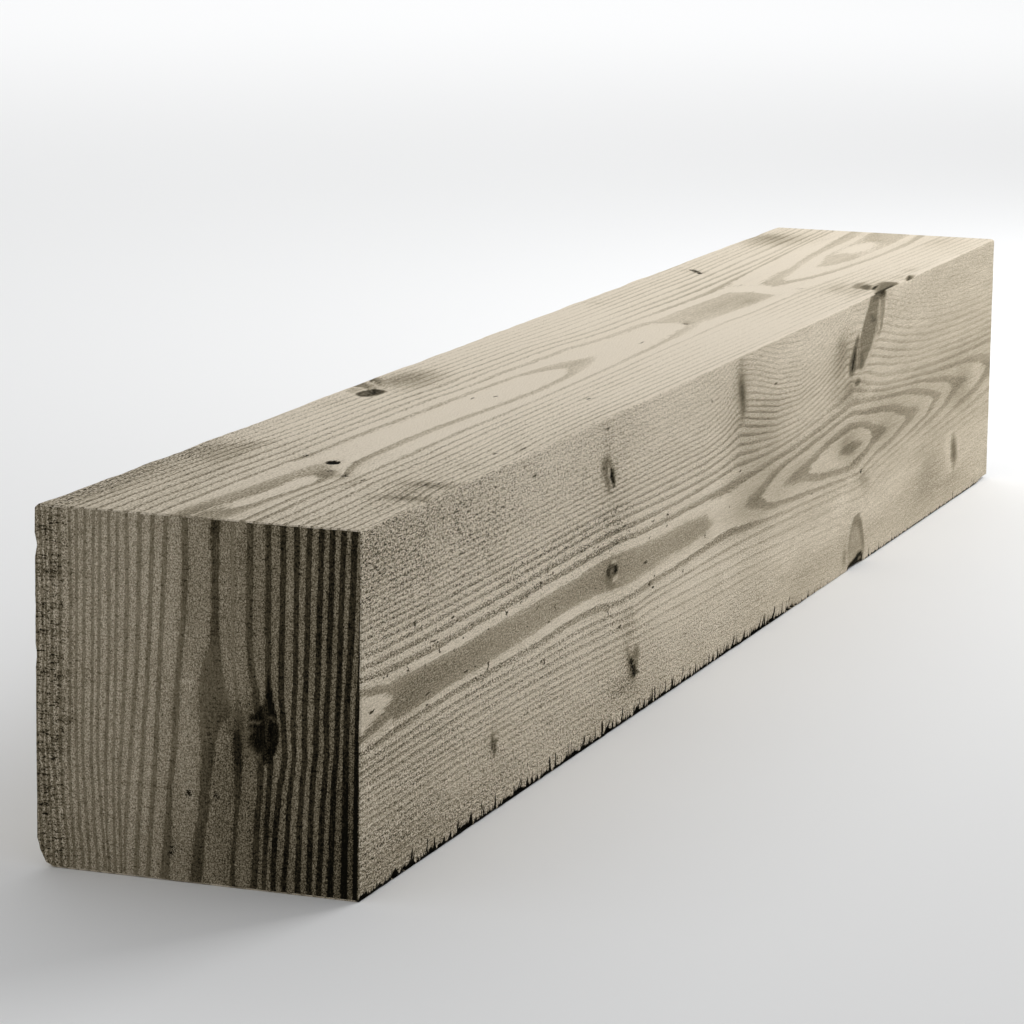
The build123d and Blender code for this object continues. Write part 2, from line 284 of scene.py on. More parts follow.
# ---------------------------------------------------------------- top face: traced rings
TOP = [
    ([(0, .35), (20, .45), (32, .6), (60, .75), (95, .65), (106, .5), (120, .2), (133, 0), (150, -.1), (300, -.15),
      (415, -.3), (430, -.5), (455, -.75), (475, -1), (540, -1.15), (595, -1.4), (602, -1.5), (650, -1.58), (720, -1.7), (735, -1.9), (745, -2.1),
      (760, -2.35), (768, -2.5), (795, -3), (840, -3.3), (858, -3.5), (890, -3.75), (915, -3.8), (928, -3.5),
      (960, -3.25), (992, -3.5), (1012, -3.8), (1040, -3.7)],
     [(0, 66), (60, 65), (108, 64), (140, 72), (300, 70), (430, 67), (475, 67), (603, 66), (740, 65), (768, 62),
      (860, 62), (920, 62), (960, 64), (1040, 64)]),
    (.5, [(0, 75), (30, 72), (50, 69.5), (75, 68.5), (100, 68.5), (106, 65.5)]),
    (.5, [(30, 61.5), (50, 61), (70, 58.8), (90, 57.5), (103, 60), (106, 63)]),
    (.1, [(0, 84.5), (30, 83.5), (60, 80), (90, 77.5), (120, 75.5), (131, 73)]),
    (0, [(0, 57), (40, 58), (70, 56), (95, 54.5), (115, 56.5), (132, 66)]),
    (-.5, [(0, 88), (50, 87.7), (100, 87.3), (135, 86.8), (145, 84.5), (200, 84.5), (250, 83), (300, 81.5),
           (330, 81), (360, 80), (385, 79), (400, 77.5), (415, 73.5), (425, 70), (430, 67.4)]),
    (-.5, [(0, 52), (60, 53.5), (100, 51.5), (120, 57), (130, 59), (140, 61), (160, 62.5), (200, 63), (240, 62.5),
           (270, 61.5), (290, 59.5), (320, 58), (350, 57), (380, 58), (400, 59), (415, 61.5), (425, 64.5),
           (430, 66.6)]),
    (-1, [(140, 88), (200, 88), (300, 85), (360, 83.5), (400, 81.5), (440, 77), (475, 67.8)]),
    (-1, [(120, 52.5), (140, 57), (160, 58.5), (200, 59), (270, 57.5), (350, 53.3), (400, 54.8), (440, 58),
          (475, 66.2)]),
    (-1.5, [(0, 95), (30, 95.2), (60, 94.3), (100, 94), (120, 93.5), (160, 92.8), (200, 92.8), (230, 92.5),
            (260, 91.3), (300, 91.5), (320, 91), (340, 89.5), (370, 88.5), (400, 89.3), (430, 87), (490, 86.5),
            (500, 84.5), (520, 81.5), (545, 79.8), (580, 79.5), (600, 76.5), (603, 70)]),
    (-1.5, [(0, 46.5), (30, 47.3), (60, 48), (80, 47.5), (100, 46.2), (120, 46.8), (160, 46.8), (200, 48),
            (240, 48.8), (280, 47.5), (330, 47.5), (380, 48.3), (440, 49), (470, 50.3), (500, 51), (530, 52),
            (560, 54), (590, 57), (603, 61)]),
    (-1.92, [(604, 78.5), (650, 78), (735, 76)]),
    (-1.92, [(604, 55.5), (650, 53.5), (690, 50.5), (735, 51)]),
    (-2.5, [(0, 100.5), (30, 101), (60, 100), (100, 100), (130, 99), (160, 98.3), (200, 98.3), (250, 97.5),
            (300, 97.5), (320, 96.8), (350, 95.5), (400, 96.5), (460, 96), (500, 94.5), (520, 93), (535, 90.5),
            (560, 89), (590, 88.5), (620, 87), (640, 86), (720, 84.8), (760, 88), (800, 90), (850, 94), (900, 97),
            (1040, 103)]),
    (-2.5, [(0, 39.5), (30, 39.5), (60, 41), (90, 41.5), (170, 40.8), (210, 41.8), (350, 41.7), (440, 42),
            (520, 43.3), (620, 43.7), (660, 41.5), (720, 41.5), (800, 38.5), (870, 36), (1040, 34)]),
    (-2.2, [(770, 82), (800, 84), (850, 88), (900, 92), (1040, 99)]),
    (-2.2, [(770, 52), (800, 46), (850, 43), (900, 40), (1040, 38)]),
    (-2.5, [(768, 62.8), (772, 72), (800, 73.5), (850, 76), (900, 82), (930, 84), (970, 87), (1040, 92)]),
    (-2.5, [(768, 61), (790, 55.5), (820, 50), (850, 46.5), (890, 44), (940, 41.5), (1000, 42), (1040, 45)]),
    (-3, [(795, 64), (850, 72), (900, 77), (930, 79), (970, 80), (1040, 84)]),
    (-3, [(795, 60), (820, 54), (850, 51), (900, 48), (940, 46.5), (1000, 47), (1040, 50)]),
    (-3.5, [(858, 63), (880, 67), (905, 71), (960, 76.5), (1000, 76), (1040, 79)]),
    (-3.5, [(858, 61), (880, 55), (905, 53), (960, 52), (1000, 52.5), (1040, 54)]),
    (-3.5, [(928, 64.6), (935, 70), (950, 72.5), (970, 72.5), (985, 69), (992, 64.6)]),
    (-3.5, [(928, 63.4), (935, 59), (950, 57), (970, 57.5), (985, 60), (992, 63.4)]),
    (-3.5, [(0, 107.5), (40, 107.5), (80, 106.8), (120, 106), (150, 104.8), (200, 104.3), (250, 103.8), (290, 104),
            (320, 103), (345, 100.8), (365, 101), (385, 102.5), (400, 101.5), (480, 101.3), (500, 100), (520, 98),
            (545, 96), (560, 95), (600, 94.5), (650, 94.8), (690, 93.5), (720, 93.5), (760, 94.5), (800, 95.5),
            (850, 97), (900, 100), (1040, 106)]),
    (-3.5, [(0, 34), (30, 34), (60, 35), (100, 36.3), (160, 36), (200, 36.8), (240, 37.7), (350, 37.5), (460, 37.8),
            (580, 37.8), (660, 36.5), (760, 36.5), (830, 33.5), (1040, 29)]),
    (-4.5, [(0, 114), (40, 113.7), (80, 113.2), (120, 112.5), (160, 112.2), (200, 110.5), (260, 110), (300, 110),
            (330, 109.3), (360, 108.8), (400, 109), (420, 107.5), (490, 107), (520, 104.5), (545, 102.3),
            (570, 101.8), (600, 101.3), (650, 100.5), (700, 100), (800, 101.5), (850, 102.5), (900, 104),
            (1040, 110)]),
    (-4.5, [(0, 26.8), (30, 27.3), (80, 28), (100, 29.8), (150, 29.8), (190, 30.8), (240, 32), (350, 33),
            (460, 32.5), (660, 32), (760, 31.5), (1040, 24)]),
    (-5.5, [(0, 120), (30, 119.7), (60, 118.8), (120, 118), (160, 116.5), (200, 115), (280, 114.5), (350, 114),
            (440, 113.5), (490, 113), (520, 110), (540, 108), (570, 107.3), (650, 107), (770, 107), (820, 108.5),
            (870, 111), (1040, 116)]),
    (-5.5, [(0, 22), (40, 22.5), (60, 23.3), (90, 25), (140, 25.3), (190, 26), (240, 28.3), (350, 28.8), (460, 27.3),
            (520, 28.5), (700, 28), (1040, 19)]),
    (-6.5, [(0, 124), (60, 123), (120, 122), (150, 120.8), (200, 118.8), (250, 118.3), (320, 119), (440, 118),
            (500, 117.5), (520, 114.5), (560, 113.8), (650, 113.5), (780, 114), (850, 117), (900, 119), (1040, 122)]),
    (-6.5, [(0, 17.8), (35, 17.8), (60, 20), (110, 22), (150, 22.5), (240, 25), (350, 24.8), (520, 23.5), (700, 22.5),
            (1040, 14)]),
    (-7.5, [(0, 129), (60, 128.5), (120, 126), (450, 122.5), (520, 120.5), (600, 118), (780, 119), (1040, 127)]),
    (-7.5, [(0, 14), (60, 14.2), (100, 18.5), (150, 19), (240, 21), (300, 20.8), (520, 19), (700, 18.5), (1040, 9)]),
    (-8.5, [(0, 133), (60, 132.5), (120, 130), (450, 127), (600, 123), (780, 124), (1040, 131)]),
    (-8.5, [(0, 10.5), (50, 10.8), (100, 15), (180, 15.3), (250, 17.5), (400, 16.3), (520, 15.3), (660, 15),
            (1040, 5)]),
    (-9.5, [(0, 6.5), (60, 6.2), (100, 10.8), (150, 11), (230, 13), (300, 13.5), (400, 12.3), (520, 11.3),
            (700, 11.3), (1040, 1)]),
    (-10.5, [(110, 6.7), (180, 6.2), (230, 9.2), (300, 9.2), (400, 8.3), (520, 7), (700, 6.5)]),
    (-11.5, [(230, 5.3), (300, 6), (360, 4.5), (480, 4.2), (560, 3.8)]),
]

# ---------------------------------------------------------------- near end: traced bands
# (width in mm, [(z, y), ...]) from the left edge to the right edge, z rising
END = [
    (1.1, [(8, 136.5), (30, 138), (60, 139), (90, 138), (120, 138.5), (150, 139.5)]),
    (1.0, [(8, 134.5), (30, 136), (60, 137.5), (90, 137), (150, 137)]),
    (1.1, [(8, 131), (30, 133.3), (60, 135), (90, 134.5), (150, 134.8)]),
    (1.2, [(8, 127.5), (30, 130), (60, 131), (120, 130.5), (150, 131)]),
    (1.1, [(8, 125), (30, 126.5), (50, 127), (70, 126.5), (110, 125.8), (150, 126.3)]),
    (1.1, [(5, 121), (20, 122.5), (40, 123.5), (70, 124), (100, 123.3), (150, 123)]),
    (1.1, [(5, 118), (30, 120), (50, 121), (90, 120.3), (150, 119.3)]),
    (1.0, [(5, 114.5), (20, 116), (50, 117), (80, 116.5), (150, 115.5)]),
    (1.2, [(5, 111), (30, 113), (50, 114.5), (70, 114), (90, 113.5), (150, 112.8)]),
    (1.4, [(5, 109.5), (15, 113 - 2.2), (30, 112 - 1.3), (45, 111), (60, 110.3), (75, 109.7), (90, 109), (150, 108.8)]),
    (1.1, [(5, 106.8), (45, 107.5), (60, 107), (100, 105.8), (150, 105)]),
    (1.5, [(10, 104), (30, 105), (45, 104.5), (60, 103.5), (75, 102.5), (90, 101.8), (110, 101), (150, 101)]),
    (1.7, [(5, 103), (15, 102.5), (30, 101.5), (45, 100.3), (60, 99), (75, 98), (90, 96.8), (110, 96), (150, 95.2)]),
    (1.8, [(5, 97.5), (30, 96), (45, 95), (60, 94), (70, 93.5), (80, 92.5), (95, 91.7), (110, 91), (150, 89.5)]),
    (1.7, [(3, 92.3), (15, 91.3), (30, 90.5), (40, 89.5), (55, 88.5), (80, 87.5), (95, 86.5), (115, 85.5),
           (130, 84.5), (150, 83.9)]),
    ([(3, 4), (15, 3.4), (30, 2), (40, 1.6), (60, 2.5), (95, 2.2), (150, 2.5)],
     [(3, 85), (15, 83.8), (30, 83), (40, 82.5), (50, 81), (60, 80.3), (80, 79.3), (95, 78), (110, 76.3),
      (120, 75.9), (150, 75.8)]),
    ([(0, 5.3), (10, 5.0), (20, 4.7), (30, 4.3), (40, 4.3), (50, 5.0), (60, 6.4), (66, 9), (70, 13), (75, 15.6),
      (80, 12.6), (90, 8.7), (95, 6.3), (100, 4.3), (110, 2.7), (130, 3.0), (150, 4.0)],
     [(0, 71.3), (10, 70.3), (20, 69.3), (30, 67.8), (40, 67.1), (50, 66.2), (60, 65.5), (66, 65), (70, 63.5),
      (75, 62.4), (80, 63.8), (90, 63.8), (95, 63.2), (100, 62.8), (110, 62.6), (130, 62.6), (150, 62.5)]),
    ([(0, 1.6), (20, 1.2), (30, 1.2), (40, 2.5), (50, 3.5), (60, 2.8), (66, 1.2), (72, .1), (150, .1)],
     [(0, 55), (10, 55.2), (30, 53.5), (40, 52.8), (50, 52.7), (60, 52.9), (71, 52.5), (82, 54), (95, 54.8),
      (110, 55), (150, 55)]),
    (2.6, [(3, 45.6), (15, 44.8), (30, 44.4), (40, 43.1), (50, 42.8), (64, 43.5), (82, 45), (88, 46.4), (95, 47.2),
           (100, 48), (110, 47.9), (150, 47.5)]),
    (1.9, [(5, 41.5), (30, 40.3), (50, 38.8), (64, 38.2), (80, 39.5), (90, 39.8), (100, 39.8), (150, 39.8)]),
    (1.9, [(10, 37.6), (25, 36.8), (35, 35.6), (45, 34.5), (50, 33.4), (55, 32.5), (62, 32.8), (70, 33.2),
           (78, 34.1), (95, 34.2), (110, 33.8), (130, 33.4), (150, 33.5)]),
    (1.7, [(5, 33), (15, 32), (30, 31.1), (40, 30.6), (48, 29.5), (55, 28.5), (70, 29.1), (85, 28.2), (100, 27.9),
           (150, 27.6)]),
    (1.9, [(3, 27), (20, 26.5), (35, 26), (45, 25), (55, 24), (65, 24.2), (80, 24), (95, 23.5), (110, 23.1),
           (150, 22.2)]),
    (2.0, [(5, 22), (25, 21.6), (40, 21), (50, 20.5), (60, 19.3), (75, 19), (90, 18.5), (110, 18), (150, 17)]),
    (2.0, [(5, 17.8), (20, 17.1), (35, 16.5), (45, 15.6), (60, 14.5), (75, 15), (90, 14), (110, 13.4), (150, 12.5)]),
    (2.0, [(3, 13), (15, 12.7), (30, 12.1), (45, 11.8), (60, 10.5), (75, 10), (90, 9.5), (110, 9), (150, 7.7)]),
    (2.4, [(5, 7), (60, 6.6), (85, 6), (100, 4.8), (120, 4), (150, 3.2)]),
]

# ---------------------------------------------------------------- marks on the right face
SIDE_KNOTS = [
    (302, 124.5, 303.6, 121.5, .2, 1.5), (303.6, 121.5, 306.5, 117, 1.5, .6),
    (336.5, 28, 340, 24.5, .6, 1.3), (340, 24.5, 343.5, 20, 1.3, .5),
    (150.5, 30.5, 151, 28, 1.1, 1.0), (715.5, 113.5, 720, 121, 1.4, 1.2),
    (739, 53, 740, 52.5, 1.2, 1.0), (448, 68, 452, 67.4, .8, .7), (457, 65.5, 458, 63.5, 1.0, .8),
]
SIDE_BLOTS = [
    # the long knot that runs up to the top edge: body, second strip, gap, rim, wedge, sliver, dark patches
    ([(728, 112), (734, 110.5), (740, 113.5), (747, 117.5), (754, 122), (760.5, 128), (764.5, 134), (766.5, 140),
      (766, 146), (760, 152), (751, 152), (744, 143.5), (736, 137), (730, 130.5), (728, 122)], 1.3, .58),
    ([(768, 147), (771, 140), (771.5, 132), (767, 125.5), (770, 125), (776, 130), (779, 137), (782, 148), (782, 152),
      (768, 152)], 1.3, .50),
    ([(759, 121), (765, 126), (769, 133), (769, 141), (767, 147), (764.5, 140), (763, 133), (758, 126), (752, 121)],
     1.0, .40),
    ([(732, 109.5), (737, 107.5), (746, 112), (757, 119), (764, 126), (761, 127), (754, 121), (747, 116.5),
      (740, 112.5)], .9, .27),
    ([(725.8, 131.5), (727, 129.5), (723.5, 122), (723, 117), (721.5, 112), (714, 109.5), (708, 111), (707, 117),
      (711, 121), (716, 126), (721, 130)], 2.0, .66),
    ([(720.5, 125.5), (721, 121), (717.5, 115.5), (713.5, 112.5), (712.5, 117), (716, 122)], 1.7, .84),
    ([(723, 112), (727, 112), (727.5, 122), (729.5, 128.5), (727, 129), (724, 121)], 1.2, .56),
    ([(729, 112.5), (735, 112), (738, 116), (735, 121), (730, 120)], 1.4, .67),
    ([(745, 138.5), (752, 138.8), (762, 137), (760, 134), (755, 134), (751, 136.5)], 1.0, .69),
    ([(753, 146.5), (765, 146), (780, 146), (783, 152), (753, 152)], 1.4, .72),
    ([(769, 148), (778, 147), (779, 152), (769, 152)], 1.0, .92),
    ([(720, 104.5), (722.5, 106.3), (727, 106.8), (731, 105.8), (732, 104), (728, 102.8), (723, 103)], 1.1, .68),
    # the half knot at the lower edge, with the broken-out wood under it; the hollow where the wood broke out is painted
    # black as painted shade
    ([(716, 4), (715.5, 14), (718, 20.5), (722, 25.5), (728, 29), (737, 28.8), (743, 23), (747.5, 15), (750, 7),
      (749, 4)], 1.8, .40),
    ([(722, 25), (727, 28.6), (737, 29), (743.5, 23.5), (748, 15), (750, 8), (747, 6.5), (743, 13), (739, 18.5),
      (734, 22.5), (727, 24)], 1.4, .54),
    ([(716, 12), (719, 20), (723, 25), (726, 24), (721.5, 18), (719, 12)], 1.3, .48),
    # painted shade: the broken-out hollow, painted black
    ([(713, -2), (716, 2.8), (722, 4), (730, 4.8), (736, 6.8), (743, 6.8), (746, 5), (747, -2)], .7, 1.0),
    ([(737, 2.6), (744, 2.8), (744, 4.2), (738, 4.4)], .7, .62),
    ([(147.5, 34), (150.5, 34), (154.5, 29), (154.5, 25), (151.5, 24.5), (149, 29)], 1.3, .74),
    # three small knots one above the other
    ([(287.5, 131.5), (296, 132), (301, 129.5), (303.5, 126.5), (299.3, 127), (298, 123.5), (299.5, 119.5),
      (302.5, 115.5), (299, 114.5), (294.5, 119), (290, 125)], 1.8, .60),
    ([(304, 127), (308, 124), (309.5, 118), (307.5, 115), (305, 121)], 1.6, .54),
    ([(300, 126), (303.7, 125.3), (305.9, 121), (307.9, 116.3), (306, 115.8), (302.7, 119.8), (300.9, 123.2)], .45, 1.0),
    ([(297.8, 126.5), (299.2, 126.3), (299.2, 123.3), (298, 123.5)], .5, .25),
    ([(295.5, 76), (297, 72), (300, 69.2), (306, 68), (311.5, 68.8), (309, 70.8), (305.5, 71.8), (306.5, 74), (303, 74),
      (299, 75)], 1.3, .56),
    ([(297.5, 78), (299.5, 80.2), (302.5, 80.9), (305, 80), (308, 79.5), (311, 79), (313.6, 77.6), (314.1, 75.8),
      (312, 74.2), (309, 73.8), (306, 74.6), (303.5, 73), (300, 74.2), (298, 76)], .9, .78),
    ([(308.6, 78.2), (312.4, 78), (313.8, 76.5), (311.8, 74.8), (309, 75.4)], .7, 1.0),
    ([(298.8, 78.4), (301.5, 77.2), (301.8, 74.8), (298.6, 76)], .7, .93),
    ([(303, 77.2), (306, 77.8), (307.5, 76.5), (306, 75.2), (303.8, 75.2)], .7, .66),
    ([(307, 73), (311, 73.2), (315, 73.2), (314, 71.8), (310, 71.2), (306.5, 71)], .8, .20),
    ([(304, 81.2), (308, 81.6), (312, 80.4), (311, 79.6), (306, 80.4)], .8, .20),
    ([(314.5, 81), (317.5, 79), (320, 76), (320.5, 73.6), (317.5, 72.4), (315.5, 74.5), (316.8, 77), (314.5, 79.3)],
     1.0, .46),
    ([(329, 34), (333, 31), (336, 33), (340, 30), (345, 33), (347.5, 29), (346.5, 22), (343, 17.5), (336, 18),
      (331, 23)], 3.2, .54),
    ([(328.5, 36.5), (331, 36), (335, 30.5), (333, 29.5)], 1.4, .62),
    ([(340, 33.5), (345.5, 33), (346, 27.5), (341.5, 28.5)], 1.4, .64),
    ([(332.8, 28.5), (336.8, 30), (340.8, 26.5), (344.3, 21.5), (342.5, 18.3), (339, 19.8), (335.3, 24.5)], .6, .98),
    ([(336.6, 28.2), (338, 28), (340.5, 23.2), (339.2, 22.8)], .4, .55),
    # the knot above them at mid length, and the small one near the far end
    ([(496, 140), (504, 147), (512, 138), (515, 124), (509, 114), (501, 124)], 4.0, .44),
    ([(499.5, 137), (505, 140), (511, 131), (512.5, 121), (507.5, 117.5), (502, 127)], 2.8, .62),
    ([(503.5, 134), (506.5, 135), (509.5, 128), (508.5, 123), (505, 128)], 1.8, .76),
    ([(932, 42), (942, 44), (944, 20), (936, 20)], 3.0, .18),
    ([(943, 37), (949.5, 42), (958.5, 35), (961, 25), (953, 18), (945, 27)], 2.8, .49),
    ([(947, 35), (952, 37.5), (957, 29), (953, 24), (948.5, 28)], 1.8, .64),
]
SIDE_TONE = [
    # broad soft darkening and lightening
    (52, 71, 18, 6, 0, .07), (303, 74, 14, 8, 0, .06), (296, 138, 5, 7, 0, .10), (301, 122, 11, 10, 0, .10),
    (338, 25, 14, 10, -30, .14), (326, 19, 12, 3.5, 0, .12), (332, 49, 10, 5, 0, .16), (335, 42, 8, 4, 0, .12),
    (506, 130, 14, 13, 0, .12), (505, 145, 8, 6, 0, .12), (150, 31, 6, 6, 0, .10),
    (717, 70, 24, 8, -12, .16), (706, 75, 12, 5, 0, .08), (607, 73, 22, 5, 8, .08),
    (694, 122, 20, 12, 12, .26), (690, 131, 9, 5, 0, .12), (712, 104, 12, 5, 0, .16), (702, 100, 22, 7, 0, .14),
    (740, 118, 26, 14, 40, .05), (736, 100, 16, 5, 0, .10),
    (790, 140, 12, 14, 45, .04), (710, 11, 4, 6, 0, .18), (709, 8, 5, 3, -30, .10), (746, 46, 12, 5, -20, .16),
    (895, 26, 38, 20, 0, .17), (960, 14, 30, 8, 0, .06), (967, 71, 20, 12, 0, .07), (850, 20, 60, 14, 0, .03), (785, 68, 24, 8, 0, .09),
    (860, 135, 60, 14, 0, .05), (640, 15, 70, 9, 0, .06), (40, 140, 80, 12, 0, .09), (20, 118, 30, 26, 0, .04),
    (60, 8, 120, 12, 0, .08), (450, 66, 9, 5, 0, .08), (200, 20, 130, 14, 0, .05), (380, 12, 120, 10, 0, .05),
    (325, 16, 22, 6, -15, .07), (520, 60, 30, 6, 0, .06),
    (18, 75, 14, 6, 0, -.05), (560, 71, 16, 5, 0, -.06), (660, 71, 24, 4, 0, -.05), (1003, 71, 14, 9, 0, -.07),
    (700, 42, 20, 8, 0, -.07), (240, 67.5, 40, 2.5, 0, -.05), (640, 140, 90, 10, 0, -.05),
]
SIDE_PITS = [
    # thin flecks: (u, v, half-length, half-width)
    (80, 90, 3.4, .55), (84, 88.8, 1.3, .5), (24, 86, 1.3, .5), (29, 86, 1.3, .5), (51, 84.5, .8, 1.8), (87, 84.5, .8, 1.8),
    (113, 84, 1.3, .5), (166, 84, .8, 1.8), (184, 86, 1.3, .5), (70, 81, .8, 1.8), (103, 81, 1.3, .5),
    (143, 82, 1.3, .5), (206, 79, 1.3, .5), (228, 75, .8, 1.8), (193, 73.5, 1.3, .5), (74, 69.2, 3.4, .55),
    (118, 69.2, 3.4, .55), (127, 68.8, 1.3, .5), (221, 70, 1.3, .5), (144, 66, .8, 1.8), (72, 64.5, 1.3, .5),
    (137, 60.5, 1.3, .5), (212, 54, 1.3, .5), (216, 53, .8, 1.8), (12, 75, 3.4, .55), (284, 73, 1.3, .5),
    (355, 71.5, 3.4, .55), (362, 82.5, 1.3, .5), (388, 83.5, 1.3, .5), (367, 89.8, 1.3, .5), (389, 89, 1.3, .5),
    (331, 91, 1.3, .5), (324, 94.5, 3.4, .55), (315, 97.5, 1.3, .5), (317, 105.5, 1.3, .5), (312, 105, .8, 1.8),
    (368, 57.5, 1.3, .5), (363, 59.5, .8, 1.8), (415, 56.3, 1.3, .5), (303, 58, .8, 1.8), (371, 62.5, 1.3, .5),
    (490, 75, 1.3, .5), (508, 91, 1.3, .5), (568, 127, 3.4, .55), (456, 134, 1.3, .5), (199, 138.5, 3.4, .55),
    (297, 144.5, 3.4, .55), (640, 56.5, 1.3, .5), (101, 95.5, 1.3, .5), (66, 98.5, 1.3, .5), (58, 101, .8, 1.8),
    (186, 103, 1.3, .5), (209, 89, .8, 1.8), (224, 91, 1.3, .5), (219, 94, .8, 1.8), (318, 48, 3.4, .55),
]
# ---------------------------------------------------------------- marks on the top face
TOP_KNOTS = [
    (136, 69, 139, 69.8, 3.0, 3.0), (118, 62.8, 119, 62.8, 1.7, 1.2),
    (317, 122.4, 325, 125.4, .5, .5),
    (802, 115.5, 819, 127, 1.5, 1.5), (601, 60.5, 603, 61, 1.4, 1.2),
    (147, 86.2, 150, 86, .9, .7), (110, 52.5, 112, 53, 1.4, 1.0),
]
TOP_BLOTS = [
    # the knot by the left edge and the curved wood behind it
    ([(331, 142), (330, 134), (326, 129.5), (334, 131), (344, 138), (350, 142)], 1.8, .55),
    ([(341, 130), (346, 131.5), (353, 133.5), (358, 137), (362, 142), (355, 142), (347, 135)], 1.5, .60),
    ([(336.5, 132), (340.5, 134), (342, 135), (340, 133)], .6, .84),
    ([(345, 135.5), (350, 138.5), (354, 141), (351, 137.5)], .6, .86),
    ([(343, 134.5), (346, 136), (350, 137.3), (348.5, 135.5)], .6, .10),
    ([(311, 132), (316, 137), (327, 139), (328, 134), (323, 131.5)], 1.4, .27),
    ([(305, 126), (309, 129), (314, 130.8), (320, 130), (325, 128.5), (329, 127.5), (328, 124.5), (326, 121),
      (321, 119), (314, 119), (307, 120.5), (304.5, 123)], .9, .80),
    ([(308, 124), (310, 127), (317, 128.5), (318, 126.5), (313, 124)], .9, .70),
    ([(312, 121), (318, 122.5), (327, 126), (327.5, 127.6), (320, 125), (312.5, 122)], .6, .97),
    # the long knot carries on over the edge
    ([(762, -2), (766, 2), (776, 4.5), (790, 7), (802, 10.5), (811, 9.5), (815, 5), (808, -2)], 1.8, .60),
    ([(777, 18), (790, 21.3), (802, 22), (804, 18.5), (795, 17.3), (785, 15.5), (777, 13), (776, 15)], 1.8, .46),
    ([(773, 8), (776, 13), (785, 16), (797, 16), (795, 12), (788, 10.3), (780, 8.2)], 1.3, .68),
    ([(774, 5.9), (777, 7.3), (786, 8.6), (795.5, 10), (793, 8.4), (786, 6.5), (778, 5.5)], .5, .97),
    ([(759, -2), (762, 1.2), (780, 1.6), (800, 1.5), (804, -2)], .8, .88),
    ([(833, -2), (836, 1.8), (843, 3.8), (846, 3.5), (844, -2)], .8, .80),
]
TOP_TONE = [
    (10, 77, 24, 4, 0, .10), (108, 56, 6, 7, 20, .22), (117, 62.5, 6, 4, 0, .16), (135, 69.5, 9, 5, 0, .16),
    (146, 86, 8, 3, 0, .16), (128, 70, 8, 4, 0, .10), (8, 66, 14, 4, 0, -.03),
    (454, 67, 14, 7, 0, .05), (605, 61, 6, 4, 0, .14), (700, 55, 12, 4, 0, .08),
    (352, 128, 26, 12, 0, .34), (378, 124, 24, 12, 0, .28), (352, 111, 26, 8, 0, .18), (286, 130, 16, 6, 0, .12),
    (318, 104, 10, 4, 0, .08), (73, 10, 6.5, 14, 4, .32), (104, 12, 8, 15, 0, .30), (88, 14, 6, 8, 0, .12), (95, 42.5, 11, 2.2, 0, .22),
    (35, 134, 60, 9, 0, .20), (110, 137, 50, 5, 0, .08), (657, 130, 4, 10, 0, .10),
    (975, 125, 33, 17, 0, .26), (990, 130, 14, 10, 0, .12), (760, 12, 24, 5, 6, .14), (772, 26, 22, 6, 10, .16), (792, 14, 24, 12, 0, .12), (870, 10, 12, 3.5, 0, .14), (838, 7, 9, 4, 0, .12), (831, 1, 8, 3, 0, .14), (763, 1, 6, 2.5, 0, .18), (1015, 27, 26, 9, 0, .08),
    (808, 121, 14, 6, 50, .12), (10, 45, 14, 40, 0, .05), (1000, 64, 7, 7, 0, .06), (1028, 76, 16, 6, 0, .08),
    (345, 28, 5, 3, 0, .12), (392, 27, 8, 3.5, 0, .12), (520, 28, 6, 3, 0, .08), (153, 15, 7, 4, 0, .08),
    (205, 9, 9, 3, 20, .10), (230, 25, 30, 6, 12, .06),
    (320, 135.5, 12, 3, 8, -.16), (240, 74, 120, 8, 0, -.04), (540, 68, 55, 9, 0, -.05), (750, 66, 9, 8, 0, -.06),
    (825, 62, 22, 8, 0, -.05), (958, 64.5, 24, 5, 0, -.08),
]
TOP_PITS = [
    # thin flecks: (u, v, half-length, half-width)
    (203, 7, 2.3, .6), (345, 26, 2.3, .6), (322, 76, 2.3, .6), (332, 68, 2.3, .6), (527, 60.5, 3.4, .55),
    (104, 42, 2.3, .6), (187, 14, 2.3, .6), (60, 110, 2.3, .6),
]


# ---------------------------------------------------------------- fields
US = np.arange(0, LENGTH + 0.1, 2.0)
side_phase = ring_field(SIDE, US, np.arange(0, 150.1, 0.5), 3.2, 2.6, 3, 1)
top_phase = ring_field(TOP, US, np.arange(0, 142.1, 0.5), 4.2, 4.2, 3, 1)


def end_fields():
    """Phase across the near end: band k lies within a quarter of k, the paler wood fills the rest."""
    zs, ys = np.arange(0, 150.1, 1.0), np.arange(0, 142.1, 0.5)
    phase = np.zeros((len(ys), len(zs)))
    n = len(END)
    for k, z in enumerate(zs):
        at, p = [], []
        for i, (q, line) in enumerate(END):
            c = np.interp(z, [r[0] for r in line], [r[1] for r in line])
            w = q if not isinstance(q, list) else np.interp(z, [r[0] for r in q], [r[1] for r in q])
            w = max(float(w), .3) + (.45 if c < 41 else 0.0)
            at += [c + w / 2, c - w / 2]
            p += [i - .25, i + .25]
        at, p = np.array(at), np.array(p)
        for i in range(1, len(at)):
            at[i] = min(at[i], at[i - 1] - .15)
        phase[:, k] = np.interp(ys, at[::-1], p[::-1])
        lo, hi = ys < at[-1], ys > at[0]
        phase[lo, k] = p[-1] + (at[-1] - ys[lo]) / 4.5
        phase[hi, k] = p[0] - (ys[hi] - at[0]) / 3.0
    return Field(ys, zs, blur(phase, 1, 3))


end_phase = end_fields()


